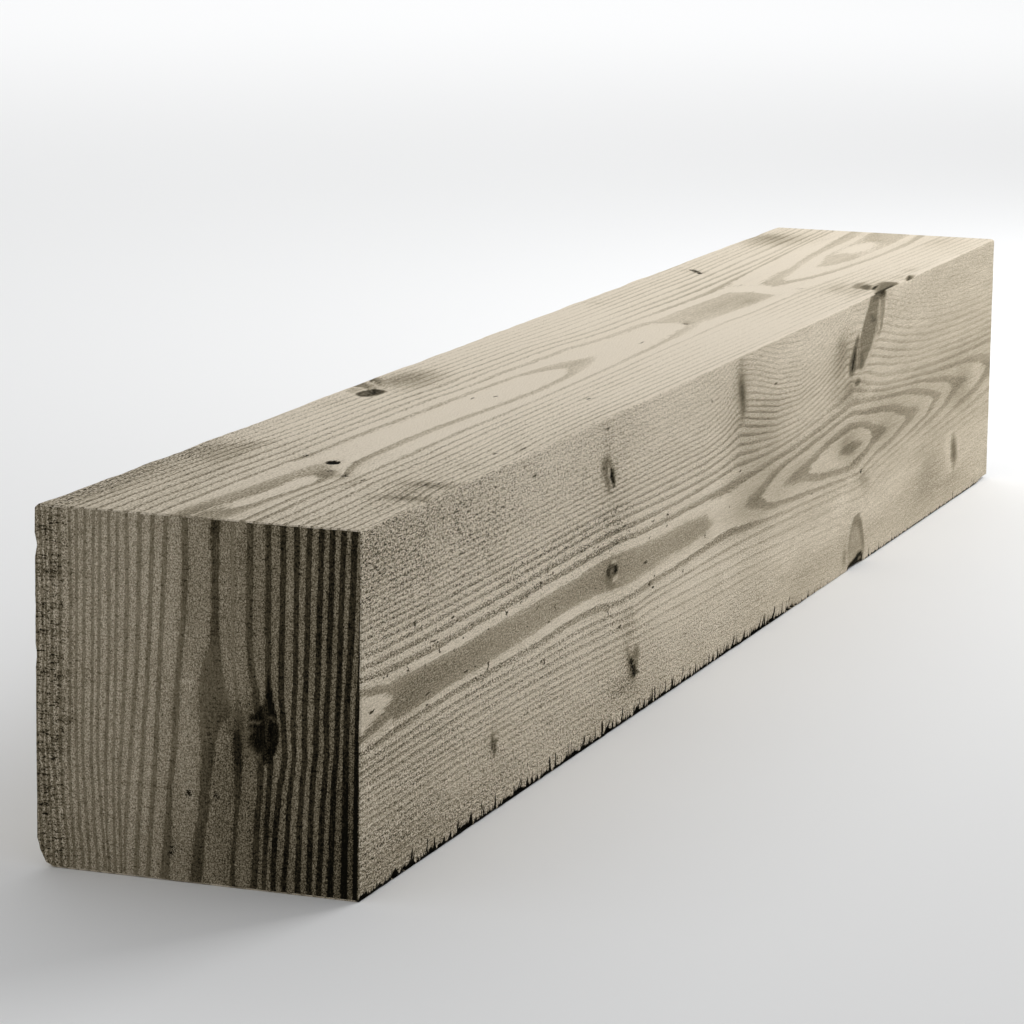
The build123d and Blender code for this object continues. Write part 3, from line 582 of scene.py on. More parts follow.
def side_values(u, v):
    """phase, duty, line strength, tone, speckle, knot depth, ticks on the right face"""
    ph = side_phase(u, v)
    far, low = smooth(u, 280, 420), smooth(58 - v, 0, 10)
    duty = .62 - .10 * far - .22 * far * low - .06 * smooth(v, 96, 106) + .12 * smooth(u, 520, 600) * window(v, 40, 100, 6)
    amp = .74 + .26 * np.exp(-((v - 68) / 30.0) ** 2)
    amp *= 1 - .50 * smooth(v, 112, 138)
    amp *= 1 + .22 * window(u, 40, 340, 30) * window(v, 78, 108, 6)
    amp *= 1 - .22 * smooth(62 - v, 0, 6) - .28 * smooth(40 - v, 0, 22)
    amp *= 1 - .30 * smooth(u, 720, 840)
    amp *= 1 - .45 * smooth(u, 790, 880) * smooth(v, 92, 116)
    amp *= 1 - .26 * far * low - .30 * smooth(u, 480, 640) * smooth(np.abs(v - 72), 12, 26)
    amp *= 1 - .30 * smooth(u, 560, 760) * low - .34 * smooth(u, 470, 560) * window(v, 52, 106, 6)
    tone = smears(SIDE_TONE, u, v)
    tone = tone + .09 * (fbm(u / 90, v / 16, 5) - .5) + .07 * (fbm(u / 26, v / 7, 15) - .5)
    tone = tone + .07 * (1 - smooth(u, 0, 150)) - .02 * window(u, 330, 420, 30) + .04 * window(u, 500, 560, 20)
    tone = tone + .04 * smooth(u, 760, 1000) + .04 * window(v, 42, 96, 8) * smooth(u, 480, 640)
    tone = tone + .065 + .045 * smooth(u, 420, 800) + .02 * (1 - smooth(u, 60, 260))
    tone = tone + .07 * window(u, 490, 590, 30) * window(v, 62, 118, 8) + .05 * window(u, 760, 1060, 30) * window(v, 60, 120, 8)
    tone = tone + .03 * smooth(u, 520, 600) * window(v, 56, 92, 8) + .055 * (1 - smooth(u, 60, 130)) * (1 - smooth(v, 50, 64))
    tone = tone + .035 * (1 - smooth(v, 14, 30)) - .045 * (1 - smooth(u, 120, 220)) * window(v, 76, 102, 6)
    tone = tone - .05 * window(v, 80, 160, 6) * (1 - smooth(u, 210, 300)) - .035 * window(u, 180, 280, 20)
    tone = tone + .05 * window(u, 480, 570, 20) * window(v, 58, 122, 8)
    tone = tone - .035 * window(v, 116, 160, 6) * (window(u, 330, 440, 24) + window(u, 780, 880, 24))
    near = 1 - smooth(u, 260, 620)
    fuzz = (.92 * smooth(v, 108, 130) * (1 - .62 * smooth(u, 180, 560))
            + 1.15 * smooth(46 - v, 0, 26) * (1 - .74 * smooth(u, 380, 640)))
    fuzz = np.maximum(fuzz, .14 + .15 * window(u, 470, 780, 60) * smooth(np.abs(v - 72), 6, 16) + .62 * near - .42 * near * window(v, 66, 84, 3))
    fuzz = fuzz * (1 - .25 * window(u, 340, 460, 30) * window(v, 42, 66, 3))
    fuzz = fuzz + .22 * near * smooth(66 - v, 0, 6) * (1 - smooth(40 - v, 0, 16)) + .20 * near * smooth(v, 84, 92)
    ticks = (.90 * window(u, 168, 332, 22) * window(v, 84, 107, 5) + .45 * (1 - smooth(u, 120, 200)) * smooth(v, 84, 96)
             + .50 * smooth(v, 110, 124) * (1 - .75 * smooth(u, 200, 480)) + .35 * smooth(50 - v, 0, 22) * (1 - smooth(u, 260, 560)))
    ticks = np.maximum(ticks, .10 * near)
    fuzz = fuzz * (.50 + 1.0 * fbm(u / 22, v / 6, 25))
    ticks = ticks * (.45 + 1.1 * fbm(u / 26, v / 7, 35))
    tone, amp, fuzz = blots(SIDE_BLOTS, u - 1.0, v, tone, amp, fuzz)
    kd = knots(SIDE_KNOTS, u, v)
    return ph, duty, amp, tone, fuzz, kd, ticks


def top_values(u, v):
    ph = top_phase(u, v)
    mid = np.exp(-((v - 67) / 19.0) ** 4)
    duty = .36 + (.16 + .14 * smooth(u, 130, 200)) * mid + .13 * window(v, 70, 104, 6) * (1 - .5 * mid) * smooth(u, 120, 220) + .04 * smooth(u, 600, 760)
    amp = .98 + .02 * mid
    amp *= 1 - .45 * smooth(v, 120, 138)
    amp *= 1 - smooth(u, 400, 620) * np.maximum(.50 * smooth(46 - v, 0, 8), .20 * smooth(v, 92, 104))
    amp *= 1 - .25 * smooth(u, 760, 900)
    amp *= 1 - .30 * mid * smooth(u, 560, 800)
    amp *= 1 - .65 * np.exp(-((u - 348) / 34.0) ** 2 - ((v - 124) / 15.0) ** 2)
    tone = -.03 + smears(TOP_TONE, u, v) + .08 * (fbm(u / 90, v / 18, 9) - .5) + .05 * (fbm(u / 26, v / 7, 19) - .5)
    tone = tone + .07 * (1 - smooth(u, 20, 200)) * (1 + .9 * smooth(v, 76, 96)) - .05 * smooth(u, 260, 560)
    tone = tone + .05 * smooth(u, 920, 1000) - .10 * window(u, 190, 640, 40) * window(v, 10, 150, 8)
    tone = tone + .04 * window(u, 70, 175, 20) * smooth(v, 98, 110) + .045 * window(u, 84, 176, 14) * smooth(v, 116, 126)
    tone = tone - .035 * window(u, 320, 690, 40) * (1 - smooth(v, 84, 100))
    # a grey patch that stops at a sharp line across the grain
    tone = tone + .17 * smooth(u - .35 * (v - 125), 108, 138) * (1 - smooth(u + 1.2 * (v - 125), 164, 170)) * smooth(v, 108, 116)
    near = 1 - smooth(u, 120, 620)
    fuzz = .10 + .42 * near + .45 * smooth(v, 120, 134) * (1 - .8 * smooth(u, 160, 380)) - .24 * near * mid
    ticks = .30 * near * (1 - mid) + .40 * smooth(v, 122, 134) * (1 - smooth(u, 100, 240)) + .5 * window(u, 66, 112, 6) * (1 - smooth(v, 18, 26))
    fuzz = fuzz * (.55 + .9 * fbm(u / 22, v / 6, 45))
    fuzz = fuzz * 1.15
    tone, amp, fuzz = blots(TOP_BLOTS, u - 1.0, v - .3, tone, amp, fuzz)
    kd = knots(TOP_KNOTS, u, v)
    return ph, duty, amp, tone, fuzz, kd, ticks


def plain_values(u, v, other, flip, seed):
    """The hidden long faces: the same rings met on the other side of the stick, with no traced marks."""
    ph = other(u if not flip else LENGTH - u, v)
    amp = .80 * (1 - .45 * smooth(np.abs(v - 71), 50, 68))
    tone = .10 * (fbm(u / 120, v / 20, seed) - .5) + .04
    fuzz = .28 + .4 * smooth(np.abs(v - 71), 52, 68)
    ks = [(250, 96, 256, 92, 3.4, 2.2), (612, 40, 620, 44, 2.6, 3.2), (868, 104, 872, 98, 2.0, 2.4)]
    if seed % 2:
        ks = [(180, 44, 186, 49, 2.8, 2.2), (474, 101, 482, 97, 3.6, 2.6), (930, 55, 936, 52, 2.2, 1.8)]
    tone = tone + smears([(k[0] + 3, k[1], 13, 8, 0, .22) for k in ks], u, v)
    return ph, np.full(ph.shape, .48), amp, tone, fuzz, knots(ks, u, v), np.full(ph.shape, .15)


END_KNOTS = [(82, 11, 81, 14, .5, .4), (74, 37, 74.2, 37.4, .7, .6), (62, 37, 62.2, 37.4, .7, .6)]
END_BLOTS = [
    ([(58.5, 70.5), (58, 73), (52, 74), (47, 72.5), (48, 70), (52, 69)], 1.6, .70),
    ([(47, 66.5), (50, 67), (55, 68.5), (57, 66), (54, 63.5), (48.5, 64)], 1.4, .74),
    ([(47.5, 66), (51, 65), (51, 57), (48.5, 55), (44, 54), (43, 57), (47, 60)], 1.2, .70),
    ([(54.6, 64.5), (52, 65), (50.8, 58), (52.2, 54), (54.2, 58)], .8, .93),
    ([(48.6, 62), (46.5, 65), (48.6, 67.5), (47.6, 71.5), (44.5, 73.2), (42, 76.5), (40.6, 83), (39.4, 92), (38.6, 83),
      (37.4, 77), (36.0, 71), (35.0, 65), (36.2, 58), (38, 56), (38.3, 52.5), (41.8, 52.5), (42.6, 56), (45.6, 57),
      (47.8, 59.3)], .7, .97),
    ([(42.4, 68.2), (45, 69.6), (48.6, 69.2), (47.6, 68), (45, 68.2)], .55, .62),
    ([(36.4, 69.3), (38, 71.6), (40.6, 72), (38.6, 70.4)], .5, .66),
    ([(37, 63.5), (38.4, 64), (38, 62.8)], .4, .70),
]
END_TONE = [
    (47, 66, 8, 12, 0, .14), (56, 70, 4.5, 5, 0, .10),
    (75, 8, 8, 12, 0, .04), (62.5, 148, 4, 5, 0, .10), (6, 20, 8, 34, 0, .12), (3, 40, 4, 34, 0, .06), (1, 70, 3, 90, 0, .08),
    (134, 110, 8, 40, 0, -.04),
    (59.5, 28, 4.5, 26, 0, .10), (43, 26, 12, 22, 0, .09), (80, 28, 12, 24, 0, .06),
    (53, 57, 3, 9, 0, .16), (73, 130, 5, 34, 0, .05), (60, 45, 8, 14, 0, .05), (53, 100, 5, 26, 0, -.04),
    (100, 60, 22, 60, 0, -.02), (76, 60, 4, 30, 0, -.03),
    # dark saw marks on the rough strip at the left
    (134, 122.5, 8, 1.3, 2, .24), (133, 98, 6, 1.0, 0, .20), (130, 81, 5, 1.0, 0, .20), (130, 70.5, 4, 1.0, 0, .18),
    (129, 62, 5, 1.2, -8, .24), (134, 49, 7, 1.1, 0, .22), (138, 108, 4, 1.2, 0, .14), (133, 88, 4, 2.5, 0, .14),
    (132, 55, 6, 2.5, 0, .12), (137, 28, 3, 6, 0, .10), (131, 126, 4, 3, 0, .10), (136, 140, 3, 6, 0, .10),
    # and pale ones further in
    (74, 83, 5, .7, 0, -.14), (74, 80.5, 4, .6, 0, -.10), (56, 122, 10, .8, 0, -.10), (70, 39, 14, .6, 0, -.08),
    (100, 48, 16, .5, 0, .10), (90, 38.5, 30, .5, 0, .10), (104, 83, 20, .5, 0, .05), (60, 118, 20, .6, 0, .06),
]


def end_values(y, z, near=True):
    """phase, duty, line strength, tone, speckle, knot depth on a cut end"""
    if near:
        ph = end_phase(y, z)
    else:
        ph = end_phase(WIDTH - y, HEIGHT - z)
    du = np.full(ph.shape, .5)
    amp = .80 + .25 * smooth(-y, -104, -84)
    amp = amp + .52 * smooth(-y, -46, -34) + window(y, 56, 74, 4) * (.30 - .42 * window(z, 58, 98, 7) + .20 * smooth(z, 96, 110))
    amp = amp * (1 - np.exp(-((y - 54.8) / 3.5) ** 2) * smooth(z, 64, 72))
    # the cut end is set much darker than the long faces and darker still towards the right face: partly the end grain's
    # own colour, partly painted shade for an end the key light does not reach
    tone = .395 + .20 * smooth(-y, -92, -44) + .10 * smooth(-y, -46, -6) + .09 * (fbm(y / 14, z / 40, 3) - .5)
    tone = tone - .02 * smooth(z, 90, 140) + .05 * smooth(-z, -40, 0) + .07 * smooth(y, 124, 134)
    tone = tone + .05 * (fbm(y / 5, z / 9, 13) - .5)
    tone = tone - .035 * smooth(-y, -34, -24) - .025 * smooth(-y, -12, -6) - .015 * smooth(y, 84, 100) - .02 * smooth(y, 128, 134)
    tone = tone + .02 * smooth(y, 60, 84) * (1 - smooth(z, 70, 110))
    fuzz = .62 + .38 * smooth(y, 122, 134)
    kd = np.full(np.broadcast(y, z).shape, -8.0)
    if near:
        tone = tone + smears(END_TONE, y, z)
        kd = knots(END_KNOTS, y, z)
        tone, amp, fuzz = blots(END_BLOTS, y, z, tone - .075, amp, fuzz)
        tone = tone + .075
    ticks = .45 + .5 * smooth(y, 120, 134)
    return ph, du, amp, tone, fuzz, kd, np.broadcast_to(ticks, ph.shape)


# ---------------------------------------------------------------- edges: how much each long edge is rubbed
def edge_legs(u):
    """For the four long edges, how far the bevel reaches across and up: (bottom right, top right, top left, bottom left)."""
    n = lambda k, s, o=3: fbm(u / s, 0 * u + k * 7.3, 30 + k, o)
    br_y, br_z = .5 + .8 * n(0, 14), .3 + .9 * n(1, 9)
    br_y = br_y + 2.6 * window(u, 719, 744, 2)
    br_z = br_z + .8 * window(u, 719, 744, 2)
    tr_y, tr_z = .9 + 1.3 * n(2, 22), .8 + 1.2 * n(3, 18)
    tr_y = tr_y + 2.8 * window(u, 830, 848, 3)
    tr_z = tr_z + 2.4 * window(u, 830, 848, 3)
    tl_y, tl_z = 1.6 + 1.8 * n(4, 26), 1.6 + 1.8 * n(5, 24)
    w = np.clip(1 - u / 170.0, 0, 1)
    bl_y, bl_z = 1.3 + 1.6 * n(6, 24) + 3.2 * w, 1.4 + 1.7 * n(7, 22) + 8.4 * w
    return (br_y, br_z), (tr_y, tr_z), (tl_y, tl_z), (bl_y, bl_z)


def cut_edges(x, y, z):
    legs = edge_legs(x)
    for k, (ly, lz) in enumerate(legs):
        a = y if k in (0, 1) else WIDTH - y
        b = z if k in (0, 3) else HEIGHT - z
        s = np.maximum(1 - a / ly - b / lz, 0)
        t = s / (1 / ly ** 2 + 1 / lz ** 2)
        a, b = a + t / ly, b + t / lz
        y = a if k in (0, 1) else WIDTH - a
        z = b if k in (0, 3) else HEIGHT - b
    # chips out of the near upright edge on the left
    for zc, half, depth, run in ((132.3, 2.0, 1.8, 5.5), (87.0, 1.6, 1.2, 5), (59.8, 1.4, 1.0, 5), (108, 1.2, .5, 4)):
        w = np.clip(1 - np.abs(z - zc) / half, 0, 1) ** .5
        ly, lx = depth * w + 1e-4, run * w + 1e-4
        s = np.maximum(1 - (WIDTH - y) / ly - x / lx, 0)
        t = s / (1 / ly ** 2 + 1 / lx ** 2)
        y, x = y - t / ly, x + t / lx
    # a splinter gone from the far bottom right corner
    w = smooth(x, LENGTH - 25, LENGTH - 21) * (1 - smooth(y, 10, 13))
    z = np.maximum(z, 2.2 * w)
    return x, y, z


# ---------------------------------------------------------------- the mesh
def along():
    """Sections along the length, closer near the near end and round the knots."""
    def spacing(u):
        s = 3.4 if u < 240 else 5.0 if u < 480 else 6.2 if u < 820 else 7.5
        for a, b, t in ((292, 314, 1.9), (314, 354, 2.5), (496, 514, 2.2), (702, 752, 2.4), (752, 790, 3.2),
                        (938, 962, 3.0), (128, 142, 2.4)):
            if a - 2 <= u < b:
                s = min(s, t)
        return s
    us = [0.0, 0.06, 0.75]
    while us[-1] < LENGTH - 9:
        us.append(us[-1] + spacing(us[-1]))
    tail = np.linspace(us[-1], LENGTH - .75, 3)[1:]
    return np.array(us + list(tail) + [LENGTH - .06, LENGTH])


def ring_points():
    rr = {"br": .7, "tr": 1.0, "tl": 1.9, "bl": 1.7}
    pts = []   # y, z, ny, nz, face, across

    def flat(n, y0, z0, y1, z1, ny, nz, face, a0, a1):
        for t in np.linspace(0, 1, n):
            pts.append((y0 + (y1 - y0) * t, z0 + (z1 - z0) * t, ny, nz, face, a0 + (a1 - a0) * t))

    def arc(cy, cz, r, d0, face, across):
        for t in (.2, .4, .6, .8):
            d = math.radians(d0 + 90 * t)
            pts.append((cy + r * math.cos(d), cz + r * math.sin(d), math.cos(d), math.sin(d),
                        face[0] if t < .5 else face[1], across[0] if t < .5 else across[1]))

    # going round seen from the near end: up the right face, across the top, down the left, back underneath
    flat(118, 0, rr["br"], 0, HEIGHT - rr["tr"], -1, 0, 0, rr["br"], HEIGHT - rr["tr"])
    c = rr["tr"]
    for t in (.2, .4, .6, .8):
        d = math.radians(180 - 90 * t)
        pts.append((c + c * math.cos(d), HEIGHT - c + c * math.sin(d), math.cos(d), math.sin(d), 0 if t < .5 else 1,
                    HEIGHT - .5 if t < .5 else .5))
    flat(112, rr["tr"], HEIGHT, WIDTH - rr["tl"], HEIGHT, 0, 1, 1, rr["tr"], WIDTH - rr["tl"])
    c = rr["tl"]
    for t in (.2, .4, .6, .8):
        d = math.radians(90 - 90 * t)
        pts.append((WIDTH - c + c * math.cos(d), HEIGHT - c + c * math.sin(d), math.cos(d), math.sin(d), 1 if t < .5 else 2,
                    WIDTH - .5 if t < .5 else HEIGHT - .5))
    flat(30, WIDTH, HEIGHT - rr["tl"], WIDTH, rr["bl"], 1, 0, 2, HEIGHT - rr["tl"], rr["bl"])
    c = rr["bl"]
    for t in (.2, .4, .6, .8):
        d = math.radians(-90 * t)
        pts.append((WIDTH - c + c * math.cos(d), c + c * math.sin(d), math.cos(d), math.sin(d), 2 if t < .5 else 3,
                    .5 if t < .5 else WIDTH - .5))
    flat(26, WIDTH - rr["bl"], 0, rr["br"], 0, 0, -1, 3, WIDTH - rr["bl"], rr["br"])
    c = rr["br"]
    for t in (.2, .4, .6, .8):
        d = math.radians(-90 - 90 * t)
        pts.append((c + c * math.cos(d), c + c * math.sin(d), math.cos(d), math.sin(d), 3 if t < .5 else 0,
                    .5))
    return np.array(pts, float)


def sawtooth(ph, duty):
    f = ph - np.floor(ph)
    t = np.clip((f - .5 + duty) / duty, 0, 1)
    return np.where(f < .5, t * t * (3 - 2 * t), 0)


us = along()
ring = ring_points()
NU, NR = len(us), len(ring)
U = np.repeat(us[:, None], NR, 1)
by, bz, ny, nz = (np.repeat(ring[None, :, k], NU, 0) for k in range(4))
face = ring[:, 4].astype(int)
across = np.repeat(ring[None, :, 5], NU, 0)

vals = [np.zeros((NU, NR)) for _ in range(7)]
for f in range(4):
    cols = np.where(face == f)[0]
    uu, vv = U[:, cols], across[:, cols]
    if f == 0:
        got = side_values(uu, vv)
    elif f == 1:
        got = top_values(uu, vv)
    elif f == 2:
        got = plain_values(uu, HEIGHT - vv, side_phase, False, 40)
    else:
        got = plain_values(uu, WIDTH - vv, top_phase, True, 41)
    for k in range(7):
        vals[k][:, cols] = got[k]
ph, duty, amp, tone, fuzz, kd, ticks = vals

# how near each point is to a long edge, for wear
flat_edge = np.minimum.reduce([np.hypot(by - a, bz - b) for a in (0, WIDTH) for b in (0, HEIGHT)])
rub = 1 - smooth(flat_edge, 1.0, 4.0)
amp = amp * (1 - .5 * rub)

# torn fibres along the lower right edge: the gaps between them get painted shade as dark slits, and the lower edge gets
# a painted contact shadow
painted_slit_and_contact_shade = np.where((face == 0)[None, :], 1 - np.clip(across / 9.0, 0, 1) ** .55, 0) * (1 - .75 * smooth(U, 540, 700))
corner = (face == 3) & (ring[:, 0] < 1.6) | (face == 0) & (ring[:, 5] < .8)
# painted contact shadow: the rounded lower edge is painted near black, weaker between about 540 and 770 mm
painted_slit_and_contact_shade = np.where(corner[None, :], np.maximum(painted_slit_and_contact_shade, 1 - .72 * smooth(U, 540, 700) + .50 * smooth(U, 748, 770)), painted_slit_and_contact_shade)
# painted shade in the broken-out hollow under the half knot
painted_slit_and_contact_shade = np.where(corner[None, :], np.maximum(painted_slit_and_contact_shade, window(U, 716, 744, 2)), painted_slit_and_contact_shade)
# painted contact shadow: a near-black strip at the foot of the right face towards the far end
under = np.where(((face == 0) & (ring[:, 5] < 3.2))[None, :], .98 - .40 * across, 0) * smooth(U, 748, 756) * (1 - smooth(U, LENGTH - 26, LENGTH - 20))
painted_slit_and_contact_shade = np.clip(np.maximum(painted_slit_and_contact_shade, under), 0, 1)

# inward relief, mm
relief = .10 + .22 * fbm(U / 160, by / 60 + bz / 60, 71) + .10 * (1 - sawtooth(ph, duty)) * amp
relief = relief + .35 * fuzz * (vnoise(U / 5.0, by / 1.6 + bz / 1.6, 72) ** 2)
relief = relief + .38 * smooth(kd, -.4, 1.6)
# torn fibres along the lower right edge
low = np.where((face == 0)[None, :], np.clip(1 - (across - 0) / 7.5, 0, 1), 0)
tear = vnoise(U / 4.2, 0 * U + 3.1, 73) * .6 + vnoise(U / 9.0, 0 * U + 9.1, 74) * .4
torn_in = low ** 1.5 * smooth(tear, .45, .75) * (1 - smooth(U, 560, 760)) * 2.4
inner = smooth(U, 0, 3) * (1 - smooth(U, LENGTH - 3, LENGTH))
relief = relief * (.3 + .7 * inner)
y = by - ny * relief + torn_in * (.3 + .7 * inner)
z = bz - nz * relief
x = U.copy()
# the sawn ends: the outermost loops stand in a little, so the end edge is broken and not knife sharp
e0 = .55 + .5 * fbm(by[0] / 9, bz[0] / 9, 75)
for j, e in ((0, e0), (1, e0 - .04), (NU - 2, e0 - .04), (NU - 1, e0)):
    y[j] = np.clip(y[j], e, WIDTH - e) + .015 * np.sin(1.7 * np.arange(NR) + j)
    z[j] = np.clip(z[j], e, HEIGHT - e)
x[0], x[-1] = .2, LENGTH - .2
x[1], x[-2] = .25, LENGTH - .25
x[2] = .5 + .7 * fbm(by[2] / 7, bz[2] / 7, 76)
x[-3] = LENGTH - .5 - .7 * fbm(by[-3] / 7, bz[-3] / 7, 77)
x, y, z = cut_edges(x, y, z)
ring_co = np.stack([x, y, z], -1).reshape(-1, 3)


def cap(ny_, nz_, near):
    """A cut end as a tensor grid of points, with its relief."""
    gy = np.concatenate([[1.7], np.linspace(3.0, WIDTH - 3.0, ny_ - 2), [WIDTH - 1.7]])
    gz = np.concatenate([[1.7], np.linspace(3.2, HEIGHT - 3.2, nz_ - 2), [HEIGHT - 1.7]])
    Y, Z = np.meshgrid(gy, gz, indexing="ij")
    v = end_values(Y, Z, near)
    p, du = v[0], v[1]
    f = p + .5 - np.floor(p + .5)
    band = 1 - smooth(np.abs(f - .5), du * .5 - .1, du * .5 + .1)
    d = .04 + .20 * band * v[2] + .14 * fbm(Y / 30, Z / 30, 81) + .16 * vnoise(Y / 2.0, Z / 2.6, 82)
    d = d + .06 * (.5 + .5 * np.sin(Z * 2 * math.pi / 7.3 + 1.5 * fbm(Y / 40, Z / 20, 83)))
    if near:
        d = d + 1.3 * smooth(v[3], .80, .90) * window(Y, 33, 50, 1.5) * window(Z, 50, 84, 3) + .8 * smooth(v[5], -.6, .6)
        # open cracks in and beside the knot
        d = d + 1.6 * bars([(44.5, 55, 46.5, 62, .7, 1), (46.5, 62, 46.0, 70, .7, 1), (40.5, 56, 39.5, 66, .6, 1),
                            (42.5, 60, 43.5, 71, .8, 1)], Y, Z)
        d = d + .7 * bars([(109.7, 78, 111.2, 42, .7, 1), (78.5, 118, 80.8, 60, .6, .6)], Y, Z)
        for zc in (122, 98, 81, 70, 62, 49, 133, 108, 38, 88):
            d = d + .5 * bars([(127 + (zc % 5), zc, 141, zc + .6, .7, 1)], Y, Z)
        d = d + .35 * smooth(Y, 126, 138) * vnoise(Y / 3, Z / 1.8, 85)
    rim = np.minimum(np.minimum(Y, WIDTH - Y), np.minimum(Z, HEIGHT - Z))
    d = .24 + (d - .24) * smooth(rim, 1.0, 3.0)
    X = d
    if not near:
        X = LENGTH - d
        xx, Y, Z = cut_edges(X, Y, Z)
    else:
        xx, Y, Z = cut_edges(X, Y, Z)
    return np.stack([xx, Y, Z], -1), v, (ny_, nz_)


near_co, near_v, near_n = cap(152, 104, True)
far_co, far_v, far_n = cap(46, 48, False)


def perimeter(n, m, offset):
    """Indices round a tensor grid's border, up the right side, over the top, down the left, back underneath."""
    idx = lambda i, j: offset + i * m + j
    out = [idx(0, j) for j in range(m)] + [idx(i, m - 1) for i in range(1, n)]
    out += [idx(n - 1, j) for j in range(m - 2, -1, -1)] + [idx(i, 0) for i in range(n - 2, 0, -1)]
    return out


co = np.concatenate([ring_co, near_co.reshape(-1, 3), far_co.reshape(-1, 3)])
NEAR0, FAR0 = len(ring_co), len(ring_co) + near_n[0] * near_n[1]


def zipper(a, b):
    """Triangles between two closed loops that run the same way round."""
    pa, pb = co[a][:, 1:], co[b][:, 1:]
    start = int(np.argmin(np.hypot(*(pb - pa[0]).T)))
    b = b[start:] + b[:start]
    pb = co[b][:, 1:]
    i = j = 0
    tris = []
    while i < len(a) or j < len(b):
        ai, aj = a[i % len(a)], a[(i + 1) % len(a)]
        bi, bj = b[j % len(b)], b[(j + 1) % len(b)]
        step_a = np.hypot(*(co[aj] - co[bi])[1:]) if i < len(a) else 1e9
        step_b = np.hypot(*(co[ai] - co[bj])[1:]) if j < len(b) else 1e9
        if step_a <= step_b:
            tris.append((ai, bi, aj))
            i += 1
        else:
            tris.append((ai, bi, bj))
            j += 1
    return tris


faces, mats = [], []
mat_of = {0: 0, 1: 1, 2: 2, 3: 2}
for j in range(NU - 1):
    r = np.arange(NR)
    n = (r + 1) % NR
    a, b, c, d = j * NR + r, j * NR + n, (j + 1) * NR + n, (j + 1) * NR + r
    faces.append(np.stack([a, d, c, b], 1))
    mats.append([mat_of[int(k)] for k in face])
quads = [tuple(int(k) for k in q) for q in np.concatenate(faces)]
mats = [m for row in mats for m in row]
end_tris = zipper(list(range(NR)), perimeter(near_n[0], near_n[1], NEAR0))
far_tris = zipper([(NU - 1) * NR + r for r in range(NR)], perimeter(far_n[0], far_n[1], FAR0))
polys = list(quads)
polys += [tuple(reversed(t)) for t in end_tris]
mats += [3] * len(end_tris)
polys += [tuple(t) for t in far_tris]
mats += [4] * len(far_tris)
for (n, m), off, near in ((near_n, NEAR0, True), (far_n, FAR0, False)):
    for i in range(n - 1):
        for j in range(m - 1):
            q = (off + i * m + j, off + (i + 1) * m + j, off + (i + 1) * m + j + 1, off + i * m + j + 1)
            polys.append(tuple(reversed(q)) if near else q)
            mats.append(3 if near else 4)

# painted shade: the broken upright edge at the near left is darkened so its rubbed chamfer does not show lit, as dark
# as the torn wood beside it
left = (face == 2) | ((face == 1) & (ring[:, 0] > WIDTH - 2.5))
for j in (1, 2):
    tone[j] = tone[j] + np.where(left, .42, 0)
tone[3] = tone[3] + np.where(left, .15, 0)

# the loop of points round each end takes its values from the cut end
for j, near in ((0, True), (NU - 1, False)):
    got = end_values(by[j], bz[j], near)
    ph[j], duty[j], amp[j], tone[j], fuzz[j], kd[j], ticks[j] = got
    painted_slit_and_contact_shade[j] = 0

flat_vals = []
for k, ringv in enumerate((ph, duty, amp, tone, fuzz, kd, ticks)):
    flat_vals.append(np.concatenate([ringv.ravel(), near_v[k].ravel(), far_v[k].ravel()]))
flat_vals.append(np.concatenate([painted_slit_and_contact_shade.ravel(), np.zeros(len(co) - NU * NR)]))

world = np.stack([co[:, 0] - LENGTH / 2, co[:, 1] - WIDTH / 2, co[:, 2]], 1) / 1000.0
mesh = bpy.data.meshes.new("sawn_timber_grain")
mesh.from_pydata([tuple(p) for p in world], [], polys)
mesh.update()
mesh.polygons.foreach_set("material_index", np.array(mats, np.int32))
mesh.polygons.foreach_set("use_smooth", np.ones(len(polys), bool))
for name, data in zip(("phase", "duty", "lines", "tone", "speckle", "knot", "ticks", "painted_slit_and_contact_shade"), flat_vals):
    at = mesh.attributes.new(name, "FLOAT", "POINT")
    at.data.foreach_set("value", data.astype(np.float32))
mesh.set_sharp_from_angle(angle=math.radians(34))
board = bpy.data.objects.new("sawn_timber_grain", mesh)
bpy.context.scene.collection.objects.link(board)


